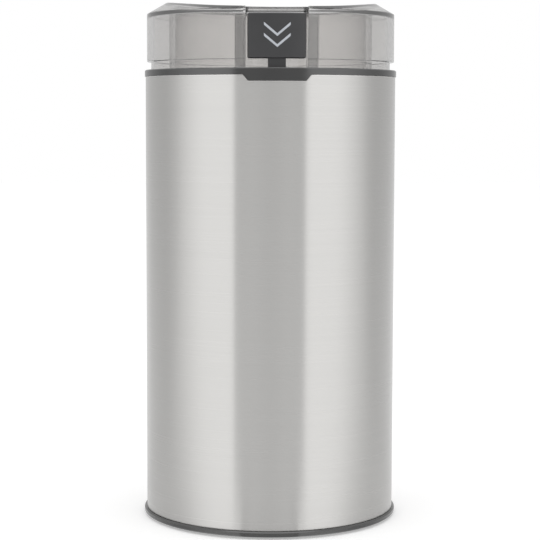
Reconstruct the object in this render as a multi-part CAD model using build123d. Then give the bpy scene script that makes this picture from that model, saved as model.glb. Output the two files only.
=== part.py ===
"""Electric spice grinder: a steel-sleeved body with a one-cup bowl, a universal motor, a clear
press-through lid and a front button that works a snap switch. Millimetres, +Z up, front at -Y,
origin on the table under the middle of the body."""

from build123d import *
from math import asin, atan2, cos, degrees, hypot, radians, sin, tan
import os

os.makedirs("parts", exist_ok=True)

# ---------------------------------------------------------------- clearances
slip_gap = 0.1  # moulded and pressed parts that slip together
move_gap = 0.3  # faces that travel past each other
shaft_gap = 0.05  # shafts and screws in their holes

# ---------------------------------------------------------------- casing
sleeve_wall = 0.5
sleeve_height = 149.3
rim_overhang = 0.9
rim_height = 1.8
rim_bevel = 0.4
floor_thickness = 2.0
spigot_wall = 1.0
base_spigot_height = 6.4
foot_radius = 4.5
foot_height = 2.0
foot_proud = 0.8
foot_inset = 9.0
vent_count = 14
vent_width = 2.4
vent_inner = 12.0
vent_outer = 25.0

# ---------------------------------------------------------------- top collar
collar_overhang = 0.3
collar_height = 2.2
collar_lip = 1.8
collar_bevel = 0.3
collar_spigot_height = 8.9
lid_recess = 1.5
deck_thickness = 2.0
tab_top_width = 22.3
tab_bottom_width = 19.0
tab_drop = 2.0
collar_boss_radius = 2.0
collar_boss_length = 12.6
collar_screw_radius = 1.1
collar_screw_bite = 10.0

# ---------------------------------------------------------------- bowl and its seat
bowl_radius = 35.4
bowl_wall = 0.6
bowl_corner = 10.0
bowl_seat_gap = 0.6
gasket_height = 0.5
gasket_width = 0.9
cup_wall = 1.4
cup_height = 46.6
cup_floor = 3.0
cup_rise = 1.0
neck_radius = 7.9
neck_wall = 2.7
neck_height = 4.0
ring_nut_radius = 12.0
ring_nut_height = 2.4
seal_proud = 1.0

# ---------------------------------------------------------------- motor housing
column_radius = 3.9
column_inset = 1.0
column_angle = 30.0
column_boss_height = 2.2
column_boss_wall = 1.1
base_screw_radius = 1.4
base_screw_bite = 12.0
ear_height = 4.0
ear_radius = 2.3
guide_rib_width = 1.5
guide_rib_length = 26.0
guide_rib_drop = 12.0

# ---------------------------------------------------------------- motor
shaft_radius = 2.5
motor_boss_radius = 5.5
motor_boss_height = 3.0
grommet_height = 1.0
bracket_thickness = 3.0
bracket_width = 14.0
bolt_x = 19.8
bolt_y = 16.3
bolt_radius = 2.0
bolt_head_radius = 3.5
bolt_head_height = 3.2
post_radius = 4.0
upper_post_length = 19.0
lower_post_length = 21.0
stator_length = 48.0
stator_width = 42.0
stator_height = 30.0
air_gap = 0.4
core_radius = 15.1
slot_count = 12
slot_width = 2.4
slot_floor = 9.0
winding_radius = 13.5
winding_overhang = 5.0
coil_inner = 16.0
coil_outer = 20.0
coil_overhang = 4.0
coil_leg_start = 15.0
coil_leg_end = 30.0
bush_radius = 4.5
bush_length = 5.0
bush_housing = 8.0
opening_start = 32.0
opening_arc = 50.0
lower_bracket_radius = 27.0
commutator_radius = 10.0
commutator_height = 11.0
commutator_drop = 7.0
brush_width = 5.3
brush_height = 7.3
brush_length = 8.0
brush_spring_length = 7.8
brush_spring_radius = 2.3
brush_wire = 0.5
brush_spring_turns = 6
holder_wall = 1.8
fan_radius = 20.0
fan_height = 8.0
fan_hub_radius = 6.0
fan_blades = 9
fan_drop = 3.0

# ---------------------------------------------------------------- blade
blade_collar_radius = 6.0
blade_collar_height = 2.7
blade_collar_lift = 0.3
blade_tip_gap = 7.4
blade_width = 11.0
blade_thickness = 1.4
blade_bend_radius = 15.0
blade_bend_angle = 14.0
blade_nut_radius = 5.0
blade_nut_height = 5.1
blade_nut_cap = 1.0

# ---------------------------------------------------------------- lid
lid_setback = 0.5
lid_lip_gap = 0.4
lid_lip_wall = 1.0
lid_lip_height = 4.3
lid_skirt_height = 16.2
lid_chamfer_height = 4.0
lid_chamfer_width = 6.9
lid_ceiling = 2.2
lid_inner_gap = 0.5
lid_inner_wall = 2.0
lid_inner_reach = 5.0
ramp_start = 30.0
ramp_curve = 400.0
pocket_wall = 2.8
pocket_gap = 0.7

# ---------------------------------------------------------------- button and push rod
button_width = 18.8
button_height = 14.5
button_setback = 1.0
button_back_gap = 1.1
button_rise = 3.0
button_round = 0.6
button_stroke = 2.6
stem_width = 5.7
stem_depth = 2.6
stem_gap = 0.4
tenon_width = 3.0
tenon_length = 6.0
rod_width = 7.5
rod_tail = 2.2
nose_radius = 1.2
nose_drop = 1.8
arm_thickness = 1.6
spring_radius = 2.5
spring_wire = 0.5
spring_turns = 7
spring_peg_radius = 1.5
spring_peg_height = 3.5

# ---------------------------------------------------------------- switch
switch_length = 27.8
switch_depth = 10.3
switch_height = 15.9
switch_inset = 6.55
lever_arm = 12.0
lever_length = 15.0
lever_width = 4.0
lever_thickness = 0.5
lever_rest_slack = 1.5
hinge_lift = 0.5
hinge_pin_radius = 0.5
hinge_barrel_radius = 0.8
hinge_ear = 1.2
plunger_radius = 0.9
plunger_offset = 4.5
plunger_length = 4.1
plunger_proud = 1.0
terminal_x = 9.0
terminal_width = 4.8
terminal_thickness = 0.8
terminal_length = 6.5
switch_hole_pitch = 22.2
switch_screw_radius = 1.5
switch_screw_height = 3.0
bracket_sheet = 1.2
bracket_flange = 8.0
shelf_width = 8.0
bracket_screw_x = 9.0
bracket_screw_radius = 1.1

# ---------------------------------------------------------------- mains entry on the base
gland_height = 17.0
gland_bore = 3.2
gland_wall = 1.7
gland_flange = 1.5
gland_proud = 0.8
gland_length = 5.3
clamp_length = 22.0
clamp_depth = 8.0
clamp_inset = 10.0
clamp_height = 5.2
clamp_screw_x = 7.5
clamp_screw_radius = 1.4
clamp_screw_bite = 9.0
block_length = 20.0
block_depth = 9.0
block_height = 11.0
block_inset = 10.0
block_hole_radius = 1.6
capacitor_length = 16.0
capacitor_depth = 7.0
capacitor_height = 12.0
capacitor_inset = 9.0
lead_radius = 1.0
lead_bow = 1.0

# ---------------------------------------------------------------- levels worked out from the stack
z_base = foot_proud
z_rim = z_base + rim_height
z_floor = z_base + floor_thickness
z_column = z_floor + column_boss_height
z_sleeve_top = z_rim + sleeve_height
z_flange = z_sleeve_top + collar_height
z_deck = z_flange - lid_recess
z_deck_under = z_deck - deck_thickness
z_tab = z_sleeve_top - tab_drop
z_cup_under = z_deck_under - cup_height
z_cup_floor = z_cup_under + cup_floor
z_bowl_under = z_cup_floor + cup_rise
z_bowl_floor = z_bowl_under + bowl_wall
z_bowl_rim = z_deck + gasket_height
z_neck = z_bowl_under + neck_height - cup_rise
z_seal = z_neck + seal_proud
z_ear = z_deck_under - collar_boss_length
z_bracket = z_cup_under - motor_boss_height - grommet_height
z_bracket_under = z_bracket - bracket_thickness
z_stator_top = z_bracket_under - upper_post_length
z_stator = z_stator_top - stator_height
z_lower_bracket = z_stator - lower_post_length
z_lower_under = z_lower_bracket - bracket_thickness
z_fan_top = z_bracket_under - fan_drop
z_fan = z_fan_top - fan_height
z_commutator_top = z_stator - commutator_drop
z_commutator = z_commutator_top - commutator_height
z_brush = z_commutator + commutator_height / 2
z_shaft_low = z_lower_under - bush_length + bracket_thickness - 1.0
z_collar_blade = z_seal + blade_collar_lift
z_blade = z_collar_blade + blade_collar_height
z_blade_top = z_blade + blade_thickness
z_shaft_top = z_blade_top + blade_nut_height - blade_nut_cap
z_lip_top = z_deck + lid_lip_height
z_lid_wall = z_lip_top + lid_skirt_height
z_lid_top = z_lid_wall + lid_chamfer_height
z_button = z_flange + button_rise
z_rod_top = z_deck_under - slip_gap
z_nose = z_cup_under - nose_drop
z_rod_low = z_nose - nose_radius - rod_tail

# ---------------------------------------------------------------- radii worked out from the bowl
bowl_outer = bowl_radius + bowl_wall
cup_inner = bowl_outer + bowl_seat_gap
cup_outer = cup_inner + cup_wall
stem_back = cup_outer + stem_gap
stem_front = stem_back + stem_depth
stem_middle = (stem_front + stem_back) / 2
spigot_radius = stem_front + stem_gap + spigot_wall
sleeve_inner = spigot_radius + slip_gap
body_radius = sleeve_inner + sleeve_wall
rim_radius = body_radius + rim_overhang
collar_radius = body_radius + collar_overhang
collar_inner = collar_radius - collar_lip
deck_inner = cup_inner + slip_gap
neck_bore = neck_radius - neck_wall
gasket_inner = deck_inner + slip_gap
boss_circle = cup_outer + slip_gap + collar_boss_radius
lid_radius = body_radius - lid_setback
lid_top_radius = lid_radius - lid_chamfer_width
lid_inner = bowl_radius - lid_inner_gap
lip_outer = collar_inner - lid_lip_gap
lid_cavity = lip_outer - lid_lip_wall
button_front = collar_radius - button_setback
button_back = lid_inner + button_back_gap
blade_tip_radius = bowl_radius - blade_tip_gap
column_circle = cup_outer - column_inset
foot_circle = body_radius - foot_inset
switch_y = cup_outer - switch_inset
clamp_y = body_radius - clamp_inset
block_y = body_radius - block_inset
capacitor_x = body_radius - capacitor_inset
pocket_half = button_width / 2 + pocket_gap
ramp_slope = degrees(atan2(lid_chamfer_height, ramp_start + lid_radius))
bolt_circle = hypot(bolt_x, bolt_y)
bolt_angle = degrees(atan2(bolt_y, bolt_x))
bolt_points = [(bolt_x, -bolt_y), (-bolt_x, bolt_y)]
core_bore = core_radius + air_gap
gland_radius = gland_bore + gland_wall
brush_back = commutator_radius + slip_gap + brush_length

# ---------------------------------------------------------------- lever geometry
lever_drop = degrees(asin(button_stroke / lever_arm))
lever_angle = lever_drop + lever_rest_slack
nose_offset = lever_thickness / 2 + nose_radius + slip_gap
hinge_fall = (nose_offset + lever_arm * sin(radians(lever_angle))) / cos(radians(lever_angle))
z_hinge = z_nose - hinge_fall
z_switch_top = z_hinge - hinge_lift
z_switch = z_switch_top - switch_height
z_switch_screw = z_switch + switch_screw_height
z_shelf = z_switch - slip_gap
switch_back = switch_y - switch_depth / 2
switch_front = switch_y + switch_depth / 2


def rod(radius, z_low, z_high, x=0.0, y=0.0):
    """Upright cylinder between two levels."""
    upright = Cylinder(radius, z_high - z_low, align=(Align.CENTER, Align.CENTER, Align.MIN))
    return Pos(x, y, z_low) * upright


def tube(outer, inner, z_low, z_high, x=0.0, y=0.0):
    """Upright tube between two levels."""
    return rod(outer, z_low, z_high, x, y) - rod(inner, z_low, z_high, x, y)


def rod_y(radius, x, y_low, y_high, z):
    """Cylinder along Y."""
    bar = Cylinder(radius, y_high - y_low, align=(Align.CENTER, Align.CENTER, Align.MIN))
    return Pos(x, y_high, z) * Rot(90, 0, 0) * bar


def block(x_low, x_high, y_low, y_high, z_low, z_high):
    """Box between its limits."""
    corner = (Align.MIN, Align.MIN, Align.MIN)
    return Pos(x_low, y_low, z_low) * Box(x_high - x_low, y_high - y_low, z_high - z_low, align=corner)


def turned(points, arc=360.0):
    """Solid turned about Z from an outline of (radius, height) points."""
    outline = Plane.XZ * make_face(Polyline(*points, close=True))
    return revolve(outline, Axis.Z, arc)


def sector(outer, inner, z_low, z_high, start, end):
    """Part of a tube between two angles in degrees."""
    corners = [(inner, z_low), (outer, z_low), (outer, z_high), (inner, z_high)]
    return Rot(0, 0, start) * turned(corners, end - start)


def around(radius, angle):
    """X and Y of a point on a circle about Z."""
    return radius * cos(radians(angle)), radius * sin(radians(angle))


def coil(radius, wire, length, turns):
    """Compression spring standing on the origin, outside radius given."""
    mean = radius - wire / 2
    path = Helix((length - wire) / turns, length - wire, mean)
    section = Plane(path @ 0, z_dir=path % 0) * Circle(wire / 2)
    return Pos(0, 0, wire / 2) * sweep(section, path=path, is_frenet=True)


def group(solids):
    """Several separate solids under one name."""
    return Compound(children=[s for piece in solids for s in piece.solids()])


def save(name, shape):
    """One STEP file for one named piece."""
    export_step(shape, f"parts/{name}.step")


column_points = [around(column_circle, column_angle + 90 * i) for i in range(4)]
foot_points = [around(foot_circle, 90 * i) for i in range(4)]
boss_points = [around(boss_circle, 90 + 120 * i) for i in range(3)]
ear_hole_radius = collar_screw_radius + shaft_gap
base_hole_radius = base_screw_radius + shaft_gap
base_head_radius = 2 * base_screw_radius
base_head_height = 1.2 * base_screw_radius
z_base_head = z_column - 1.8


# ---------------------------------------------------------------- base
def clamp_saddle():
    """Block on the floor with a half-round channel under the cord clamp."""
    half = clamp_length / 2
    front = clamp_y - clamp_depth / 2
    saddle = block(-half, half, front, front + clamp_depth, z_base, gland_height)
    saddle -= rod_y(gland_bore, 0, clamp_y - clamp_depth, clamp_y + clamp_depth, gland_height)
    for x in (-clamp_screw_x, clamp_screw_x):
        low = gland_height - clamp_screw_bite - 1.0
        saddle -= rod(clamp_screw_radius + shaft_gap, low, gland_height, x, clamp_y)
    return saddle


def vent_slots():
    """Ring of radial air slots through the floor."""
    slots = []
    for i in range(vent_count):
        half = vent_width / 2
        slot = block(vent_inner, vent_outer, -half, half, z_base - 1, z_floor + 1)
        slots.append(Rot(0, 0, (i + 0.5) * 360 / vent_count) * slot)
    return slots


def base_cover():
    rim = [
        (0, z_base),
        (rim_radius - rim_bevel, z_base),
        (rim_radius, z_base + rim_bevel),
        (rim_radius, z_rim - rim_bevel),
        (rim_radius - rim_bevel, z_rim),
        (spigot_radius, z_rim),
        (spigot_radius, z_rim + base_spigot_height),
        (spigot_radius - spigot_wall, z_rim + base_spigot_height),
        (spigot_radius - spigot_wall, z_floor),
        (0, z_floor),
    ]
    cover = turned(rim) + clamp_saddle()
    for x, y in column_points:
        cover += rod(column_radius + column_boss_wall, z_base, z_column, x, y)
    cover = cover & rod(rim_radius, 0, z_sleeve_top)
    cover -= tube(rim_radius + 1, spigot_radius, z_rim, z_sleeve_top)
    for x, y in column_points:
        cover -= rod(base_hole_radius, z_base - 1, z_column + 1, x, y)
        cover -= rod(base_head_radius + slip_gap, z_base - 1, z_base_head, x, y)
    for x, y in foot_points:
        cover -= rod(foot_radius + shaft_gap, z_base - 1, foot_height, x, y)
    for slot in vent_slots():
        cover -= slot
    return cover


def rubber_feet():
    feet = []
    for x, y in foot_points:
        foot = rod(foot_radius, 0, foot_height, x, y)
        feet.append(chamfer(foot.edges().sort_by(Axis.Z)[0], foot_proud / 2))
    return group(feet)


def base_screws():
    screws = []
    for x, y in column_points:
        head = rod(base_head_radius, z_base_head - base_head_height, z_base_head, x, y)
        head -= block(x - 0.4, x + 0.4, y - 2, y + 2, 0, z_base_head - base_head_height / 2)
        screws.append(head + rod(base_screw_radius, z_base_head, z_column + base_screw_bite, x, y))
    return group(screws)


# ---------------------------------------------------------------- sleeve and collar
def tab_prism(gap):
    """Front-facing prism with the outline of the tab that keys the collar into the sleeve."""
    top = tab_top_width / 2 + gap
    low = tab_bottom_width / 2 + gap
    points = [(-low, z_tab - gap), (low, z_tab - gap), (top, z_sleeve_top), (top, z_flange)]
    points += [(-top, z_flange), (-top, z_sleeve_top)]
    outline = Plane.XZ * make_face(Polyline(*points, close=True))
    return extrude(outline, collar_radius + 1)


def steel_sleeve():
    sleeve = tube(body_radius, sleeve_inner, z_rim, z_sleeve_top)
    sleeve -= tab_prism(slip_gap)
    return sleeve - rod_y(gland_radius + slip_gap, 0, 0, rim_radius, gland_height)


def top_collar():
    section = [
        (deck_inner, z_deck_under),
        (spigot_radius - spigot_wall, z_deck_under),
        (spigot_radius - spigot_wall, z_sleeve_top - collar_spigot_height),
        (spigot_radius, z_sleeve_top - collar_spigot_height),
        (spigot_radius, z_sleeve_top),
        (collar_radius, z_sleeve_top),
        (collar_radius, z_flange - collar_bevel),
        (collar_radius - collar_bevel, z_flange),
        (collar_inner, z_flange),
        (collar_inner, z_deck),
        (deck_inner, z_deck),
    ]
    collar = turned(section)
    collar += tab_prism(0) & tube(collar_radius, spigot_radius - spigot_wall / 2, z_tab, z_sleeve_top)
    for x, y in boss_points:
        boss = rod(collar_boss_radius, z_ear, z_deck_under, x, y)
        collar += boss - rod(ear_hole_radius, z_ear, z_ear + collar_screw_bite + 0.5, x, y)
    for x, y in boss_points:
        collar -= rod(ear_hole_radius, z_ear - 1, z_ear + collar_screw_bite + 0.5, x, y)
    half = stem_width / 2 + move_gap
    slot = block(-half, half, -stem_front - move_gap, -stem_back + move_gap, z_ear, z_flange)
    return collar - slot


def collar_screws():
    screws = []
    low = z_ear - ear_height
    for x, y in boss_points:
        head = rod(1.9 * collar_screw_radius, low - 1.6, low, x, y)
        screws.append(head + rod(collar_screw_radius, low, z_ear + collar_screw_bite, x, y))
    return group(screws)


# ---------------------------------------------------------------- housing
def guide_ribs():
    """Two upright ribs on the cup that keep the push rod straight."""
    inner = rod_width / 2 + move_gap
    top = z_deck_under - guide_rib_drop
    ribs = []
    for x in (-inner - guide_rib_width, inner):
        rib = block(x, x + guide_rib_width, -stem_front, -cup_inner, top - guide_rib_length, top)
        ribs.append(rib)
    return ribs


def motor_housing():
    section = [
        (neck_bore, z_cup_under),
        (cup_outer, z_cup_under),
        (cup_outer, z_deck_under),
        (cup_inner, z_deck_under),
        (cup_inner, z_cup_floor),
        (ring_nut_radius + 1, z_cup_floor),
        (ring_nut_radius + 1, z_bowl_under),
        (neck_radius, z_bowl_under),
        (neck_radius, z_neck),
        (neck_bore, z_neck),
    ]
    housing = turned(section)
    for x, y in column_points:
        column = rod(column_radius, z_column, z_cup_floor, x, y)
        housing += column - rod(cup_inner - 1, z_cup_under, z_cup_floor)
    for x, y in boss_points:
        ear = rod(ear_radius, z_ear - ear_height, z_ear, x, y)
        housing += ear - rod(cup_inner + cup_wall / 2, z_ear - ear_height, z_ear)
    for x, y in bolt_points:
        housing += rod(motor_boss_radius, z_cup_under - motor_boss_height, z_cup_under, x, y)
    for rib in guide_ribs():
        housing += rib - rod(cup_inner + cup_wall / 2, z_cup_under, z_deck)
    for x, y in column_points:
        housing -= rod(base_hole_radius, z_column - 1, z_column + base_screw_bite + 1, x, y)
    for x, y in boss_points:
        housing -= rod(ear_hole_radius, z_ear - ear_height - 1, z_ear + 1, x, y)
    for x, y in bolt_points:
        low = z_cup_under - motor_boss_height - 1
        housing -= rod(bolt_radius + shaft_gap, low, z_cup_floor - 0.5, x, y)
    for x in (-bracket_screw_x, bracket_screw_x):
        hole = bracket_screw_radius + shaft_gap
        housing -= rod(hole, z_cup_under - 1, z_cup_floor - 0.5, x, -bracket_screw_y)
    return housing


# ---------------------------------------------------------------- bowl and its seals
def bowl_body(radius, corner, z_low):
    """Round-bottomed plug reaching up to the rim level."""
    plug = rod(radius, z_low, z_bowl_rim + bowl_wall)
    return fillet(plug.edges().sort_by(Axis.Z)[0], corner)


def grinding_bowl():
    rim = gasket_inner + gasket_width + slip_gap
    bowl = bowl_body(bowl_outer, bowl_corner + bowl_wall, z_bowl_under)
    bowl += rod(rim, z_bowl_rim, z_bowl_rim + bowl_wall)
    bowl -= bowl_body(bowl_radius, bowl_corner, z_bowl_floor)
    return bowl - rod(neck_radius + slip_gap, z_bowl_under - 1, z_bowl_floor + 1)


def bowl_gasket():
    return tube(gasket_inner + gasket_width, gasket_inner, z_deck, z_bowl_rim)


def bowl_ring_nut():
    nut = tube(ring_nut_radius, neck_radius + slip_gap, z_bowl_floor, z_bowl_floor + ring_nut_height)
    top_edges = nut.edges().filter_by(GeomType.CIRCLE).group_by(Axis.Z)[-1]
    nut = chamfer(top_edges.sort_by(SortBy.RADIUS)[-1], ring_nut_height / 4)
    for i in range(6):
        x, y = around(ring_nut_radius, 60 * i)
        nut -= rod(1.2, z_bowl_floor - 1, z_bowl_floor + ring_nut_height + 1, x, y)
    return nut


def shaft_seal():
    seal = tube(neck_bore - shaft_gap, shaft_radius + shaft_gap, z_cup_under, z_neck)
    lip = tube(neck_radius - slip_gap, shaft_radius + shaft_gap, z_neck, z_seal)
    return seal + lip


# ---------------------------------------------------------------- motor frame
def bolt_posts(z_low, z_high):
    """The two spacer posts between an end bracket and the stator."""
    return [rod(post_radius, z_low, z_high, x, y) for x, y in bolt_points]


def bolt_holes(z_low, z_high):
    """The two through holes for the long motor bolts."""
    return [rod(bolt_radius + shaft_gap, z_low, z_high, x, y) for x, y in bolt_points]


def upper_bracket():
    half = bolt_circle + post_radius + 1
    bar = block(-half, half, -bracket_width / 2, bracket_width / 2, z_bracket_under, z_bracket)
    bracket = Rot(0, 0, -bolt_angle) * fillet(bar.edges().filter_by(Axis.Z), bracket_width / 4)
    bracket += rod(bush_housing, z_bracket - bush_length, z_bracket)
    for post in bolt_posts(z_stator_top, z_bracket_under):
        bracket += post
    for hole in bolt_holes(z_stator_top - 1, z_bracket + 1):
        bracket -= hole
    return bracket - rod(bush_radius + shaft_gap, z_bracket - bush_length - 1, z_bracket + 1)


def lower_bracket():
    bracket = rod(lower_bracket_radius, z_lower_under, z_lower_bracket)
    for x, y in bolt_points:
        bracket += rod(post_radius + 1.5, z_lower_under, z_lower_bracket, x, y)
    for post in bolt_posts(z_lower_bracket, z_stator):
        bracket += post
    opening = (bolt_circle - post_radius, bush_housing + 3, z_lower_under - 1, z_lower_bracket + 1)
    for start in (opening_start, 180 - opening_start - opening_arc):
        bracket -= sector(*opening, start, start + opening_arc)
        bracket -= sector(*opening, start + 180, start + 180 + opening_arc)
    bracket += rod(bush_housing, z_lower_bracket - bush_length, z_lower_bracket)
    for hole in bolt_holes(z_lower_under - 1, z_stator + 1):
        bracket -= hole
    seat = rod(bush_radius + shaft_gap, z_lower_bracket - bush_length - 1, z_lower_bracket + 1)
    return bracket - seat


def bush(z_low):
    """Sintered sleeve bearing."""
    return tube(bush_radius, shaft_radius + shaft_gap, z_low, z_low + bush_length)


def stator_core():
    half_x = stator_length / 2
    half_y = stator_width / 2
    core = block(-half_x, half_x, -half_y, half_y, z_stator, z_stator_top)
    core = fillet(core.edges().filter_by(Axis.Z), 3.0)
    core -= rod(core_bore, z_stator - 1, z_stator_top + 1)
    spread = coil_leg_end + 4
    for start in (-spread, 180 - spread):
        window = (coil_outer + 2 * slip_gap, core_bore - 1, z_stator - 1, z_stator_top + 1)
        core -= sector(*window, start, start + 2 * spread)
    for hole in bolt_holes(z_stator - 1, z_stator_top + 1):
        core -= hole
    return core


def field_coil(side):
    """Saddle coil round one pole: two legs in the windows and an end turn above and below."""
    low = z_stator - coil_overhang
    high = z_stator_top + coil_overhang
    saddle = sector(coil_outer, coil_inner, low, high, coil_leg_start, 180 - coil_leg_start)
    gap = sector(
        coil_outer + 1,
        coil_inner - 1,
        z_stator - slip_gap,
        z_stator_top + slip_gap,
        coil_leg_end,
        180 - coil_leg_end,
    )
    return Rot(0, 0, side) * (saddle - gap)


def motor_bolts():
    bolts = []
    for x, y in bolt_points:
        hexagon = Pos(x, y, z_lower_under - bolt_head_height) * RegularPolygon(bolt_head_radius, 6)
        head = extrude(hexagon, bolt_head_height)
        bolts.append(head + rod(bolt_radius, z_lower_under, z_cup_floor - 1, x, y))
    return group(bolts)


def motor_grommets():
    top = z_bracket + grommet_height
    hole = bolt_radius + 2 * shaft_gap
    return group([tube(motor_boss_radius, hole, z_bracket, top, x, y) for x, y in bolt_points])


# ---------------------------------------------------------------- rotor
shaft_bore = shaft_radius + shaft_gap


def rotor_shaft():
    return rod(shaft_radius, z_shaft_low, z_shaft_top)


def slot_cut(width, inner, outer, z_low, z_high):
    """Radial bars at the armature's slots."""
    bars = []
    for i in range(slot_count):
        bar = block(inner, outer, -width / 2, width / 2, z_low, z_high)
        bars.append(Rot(0, 0, i * 360 / slot_count) * bar)
    return bars


def armature_core():
    core = tube(core_radius, shaft_bore, z_stator, z_stator_top)
    for bar in slot_cut(slot_width, slot_floor, core_radius + 1, z_stator - 1, z_stator_top + 1):
        core -= bar
    return core


def winding_end(z_seat, outward):
    """Domed end turns of the armature winding; outward is +1 above the core and -1 below."""
    inner = slot_floor - 4.0
    far = z_seat + outward * winding_overhang
    near = z_seat + outward * slip_gap
    round_off = outward * 1.6
    points = [(inner, near), (winding_radius, near), (winding_radius, far - round_off)]
    points += [(winding_radius - 1.6, far), (inner + 1.6, far), (inner, far - round_off)]
    return turned(points)


def armature_winding():
    winding = winding_end(z_stator_top, 1) + winding_end(z_stator, -1)
    packing = (slot_width - 2 * slip_gap, slot_floor + slip_gap, winding_radius - 0.4)
    for bar in slot_cut(*packing, z_stator - 1, z_stator_top + 1):
        winding += bar
    return winding


def commutator():
    drum = tube(commutator_radius, shaft_bore, z_commutator, z_commutator_top)
    drum += tube(commutator_radius + 1, shaft_bore, z_commutator_top - 1.5, z_commutator_top)
    groove = (0.6, commutator_radius - 1, commutator_radius + 2)
    for bar in slot_cut(*groove, z_commutator - 1, z_commutator_top + 1):
        drum -= bar
    return drum


def cooling_fan():
    fan = tube(fan_hub_radius, shaft_bore, z_fan, z_fan_top)
    fan += tube(fan_radius, shaft_bore, z_fan, z_fan + 1.2)
    for i in range(fan_blades):
        vane = block(fan_hub_radius - 1, fan_radius - 0.5, -0.6, 0.6, z_fan, z_fan_top - 0.5)
        fan += Rot(0, 0, i * 360 / fan_blades) * vane
    return fan


def brush_holder(side):
    """Moulded tube that guides one carbon brush towards the commutator along X."""
    inner = commutator_radius + 1 + move_gap + 0.2
    end = brush_back + brush_spring_length
    half_y = brush_width / 2 + holder_wall
    half_z = brush_height / 2 + holder_wall
    holder = block(inner, end + holder_wall, -half_y, half_y, z_lower_bracket, z_brush + half_z)
    bore_y = brush_width / 2 + slip_gap
    bore_z = brush_height / 2 + slip_gap
    holder -= block(inner - 1, end, -bore_y, bore_y, z_brush - bore_z, z_brush + bore_z)
    return Rot(0, 0, side) * holder


def carbon_brush(side):
    half_y = brush_width / 2
    half_z = brush_height / 2
    brush = block(commutator_radius / 2, brush_back, -half_y, half_y, z_brush - half_z, z_brush + half_z)
    brush -= rod(commutator_radius + slip_gap, z_commutator - 1, z_commutator_top)
    return Rot(0, 0, side) * brush


def brush_spring(side):
    spring = coil(brush_spring_radius, brush_wire, brush_spring_length, brush_spring_turns)
    return Rot(0, 0, side) * Pos(brush_back, 0, z_brush) * Rot(0, 90, 0) * spring


# ---------------------------------------------------------------- blade
def blade_collar():
    return tube(blade_collar_radius, shaft_bore, z_collar_blade, z_blade)


def blade_wing(turn, lift):
    """One wing: flat out to the bend, then up or down to the tip."""
    reach = blade_tip_radius - blade_bend_radius
    rise = lift * reach * tan(radians(blade_bend_angle))
    side = [(0, z_blade), (blade_bend_radius, z_blade), (blade_tip_radius, z_blade + rise)]
    side += [(blade_tip_radius, z_blade_top + rise), (blade_bend_radius, z_blade_top), (0, z_blade_top)]
    bent = extrude(Plane.XZ * make_face(Polyline(*side, close=True)), blade_width / 2, both=True)
    root = blade_width / 2
    plan = [(0, -root), (blade_bend_radius, -root), (blade_tip_radius - 3, -root * 0.75)]
    plan += [(blade_tip_radius, root * 0.3), (blade_tip_radius - 2, root), (0, root)]
    flat = Pos(0, 0, z_cup_under) * make_face(Polyline(*plan, close=True))
    outline = extrude(flat, z_deck - z_cup_under)
    return Rot(0, 0, turn) * (bent & outline)


def blade():
    wings = rod(blade_collar_radius + 1, z_blade, z_blade_top)
    wings += blade_wing(0, 1)
    wings += blade_wing(180, -0.7)
    return wings - rod(shaft_bore, z_blade - 1, z_blade_top + 1)


def blade_nut():
    nut = rod(blade_nut_radius, z_blade_top, z_blade_top + blade_nut_height)
    nut = fillet(nut.edges().sort_by(Axis.Z)[-1], 1.5)
    half = blade_nut_radius + 1
    flat = block(blade_nut_radius - 1, half, -half, half, z_blade_top + 1, z_lid_top)
    for i in range(2):
        nut -= Rot(0, 0, 180 * i) * flat
    return nut - rod(shaft_bore, z_blade_top - 1, z_shaft_top + shaft_gap)


# ---------------------------------------------------------------- lid
def ramp_roller(drop):
    """Very wide, slightly tilted cylinder whose lowest line is the shallow ramp on the lid's top."""
    roller = Cylinder(ramp_curve, 4 * lid_radius, align=(Align.CENTER, Align.CENTER, Align.CENTER))
    lying = Pos(0, 0, ramp_curve) * Rot(90, 0, 0) * roller
    return Pos(0, ramp_start, z_lid_top - drop) * Rot(ramp_slope, 0, 0) * lying


def lid_shell(drop):
    """Outer form of the lid, or of a hollow under its ceiling when drop is the ceiling's thickness."""
    slope = lid_chamfer_height / (lid_radius - lid_top_radius)
    shift = drop * (1 / cos(atan2(slope, 1)) - 1) / slope
    points = [
        (0, z_deck),
        (lid_radius, z_deck),
        (lid_radius, z_lid_wall - drop - shift * slope),
        (lid_top_radius - shift, z_lid_top - drop),
        (0, z_lid_top - drop),
    ]
    return turned(points) - ramp_roller(drop)


def pocket_walls():
    """The two side walls and the open space of the button pocket."""
    low = z_flange + 0.2
    outer = pocket_half + pocket_wall
    walls = block(-outer, outer, -lid_radius, -lid_inner + lid_inner_wall, low, z_lid_top)
    return walls & lid_shell(0)


def lid():
    z_inner = z_bowl_rim + bowl_wall - lid_inner_reach - 1.1
    form = lid_shell(0) - tube(lid_radius + 1, lip_outer, z_deck - 1, z_lip_top)
    hollow = lid_shell(lid_ceiling)
    annulus = hollow & tube(lid_cavity, lid_inner, z_deck - 1, z_lid_top)
    bore = hollow & rod(lid_inner - lid_inner_wall, z_deck - 1, z_lid_top)
    form = form - annulus - bore
    form += tube(lid_inner, lid_inner - lid_inner_wall, z_inner, z_deck + 1)
    form += pocket_walls() - rod(lid_inner - lid_inner_wall / 2, z_deck, z_lid_top)
    pocket = block(-pocket_half, pocket_half, -lid_radius - 1, 0, z_deck - 1, z_lid_top + 1)
    form -= pocket - rod(lid_inner, z_deck - 2, z_lid_top + 2)
    return form


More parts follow.
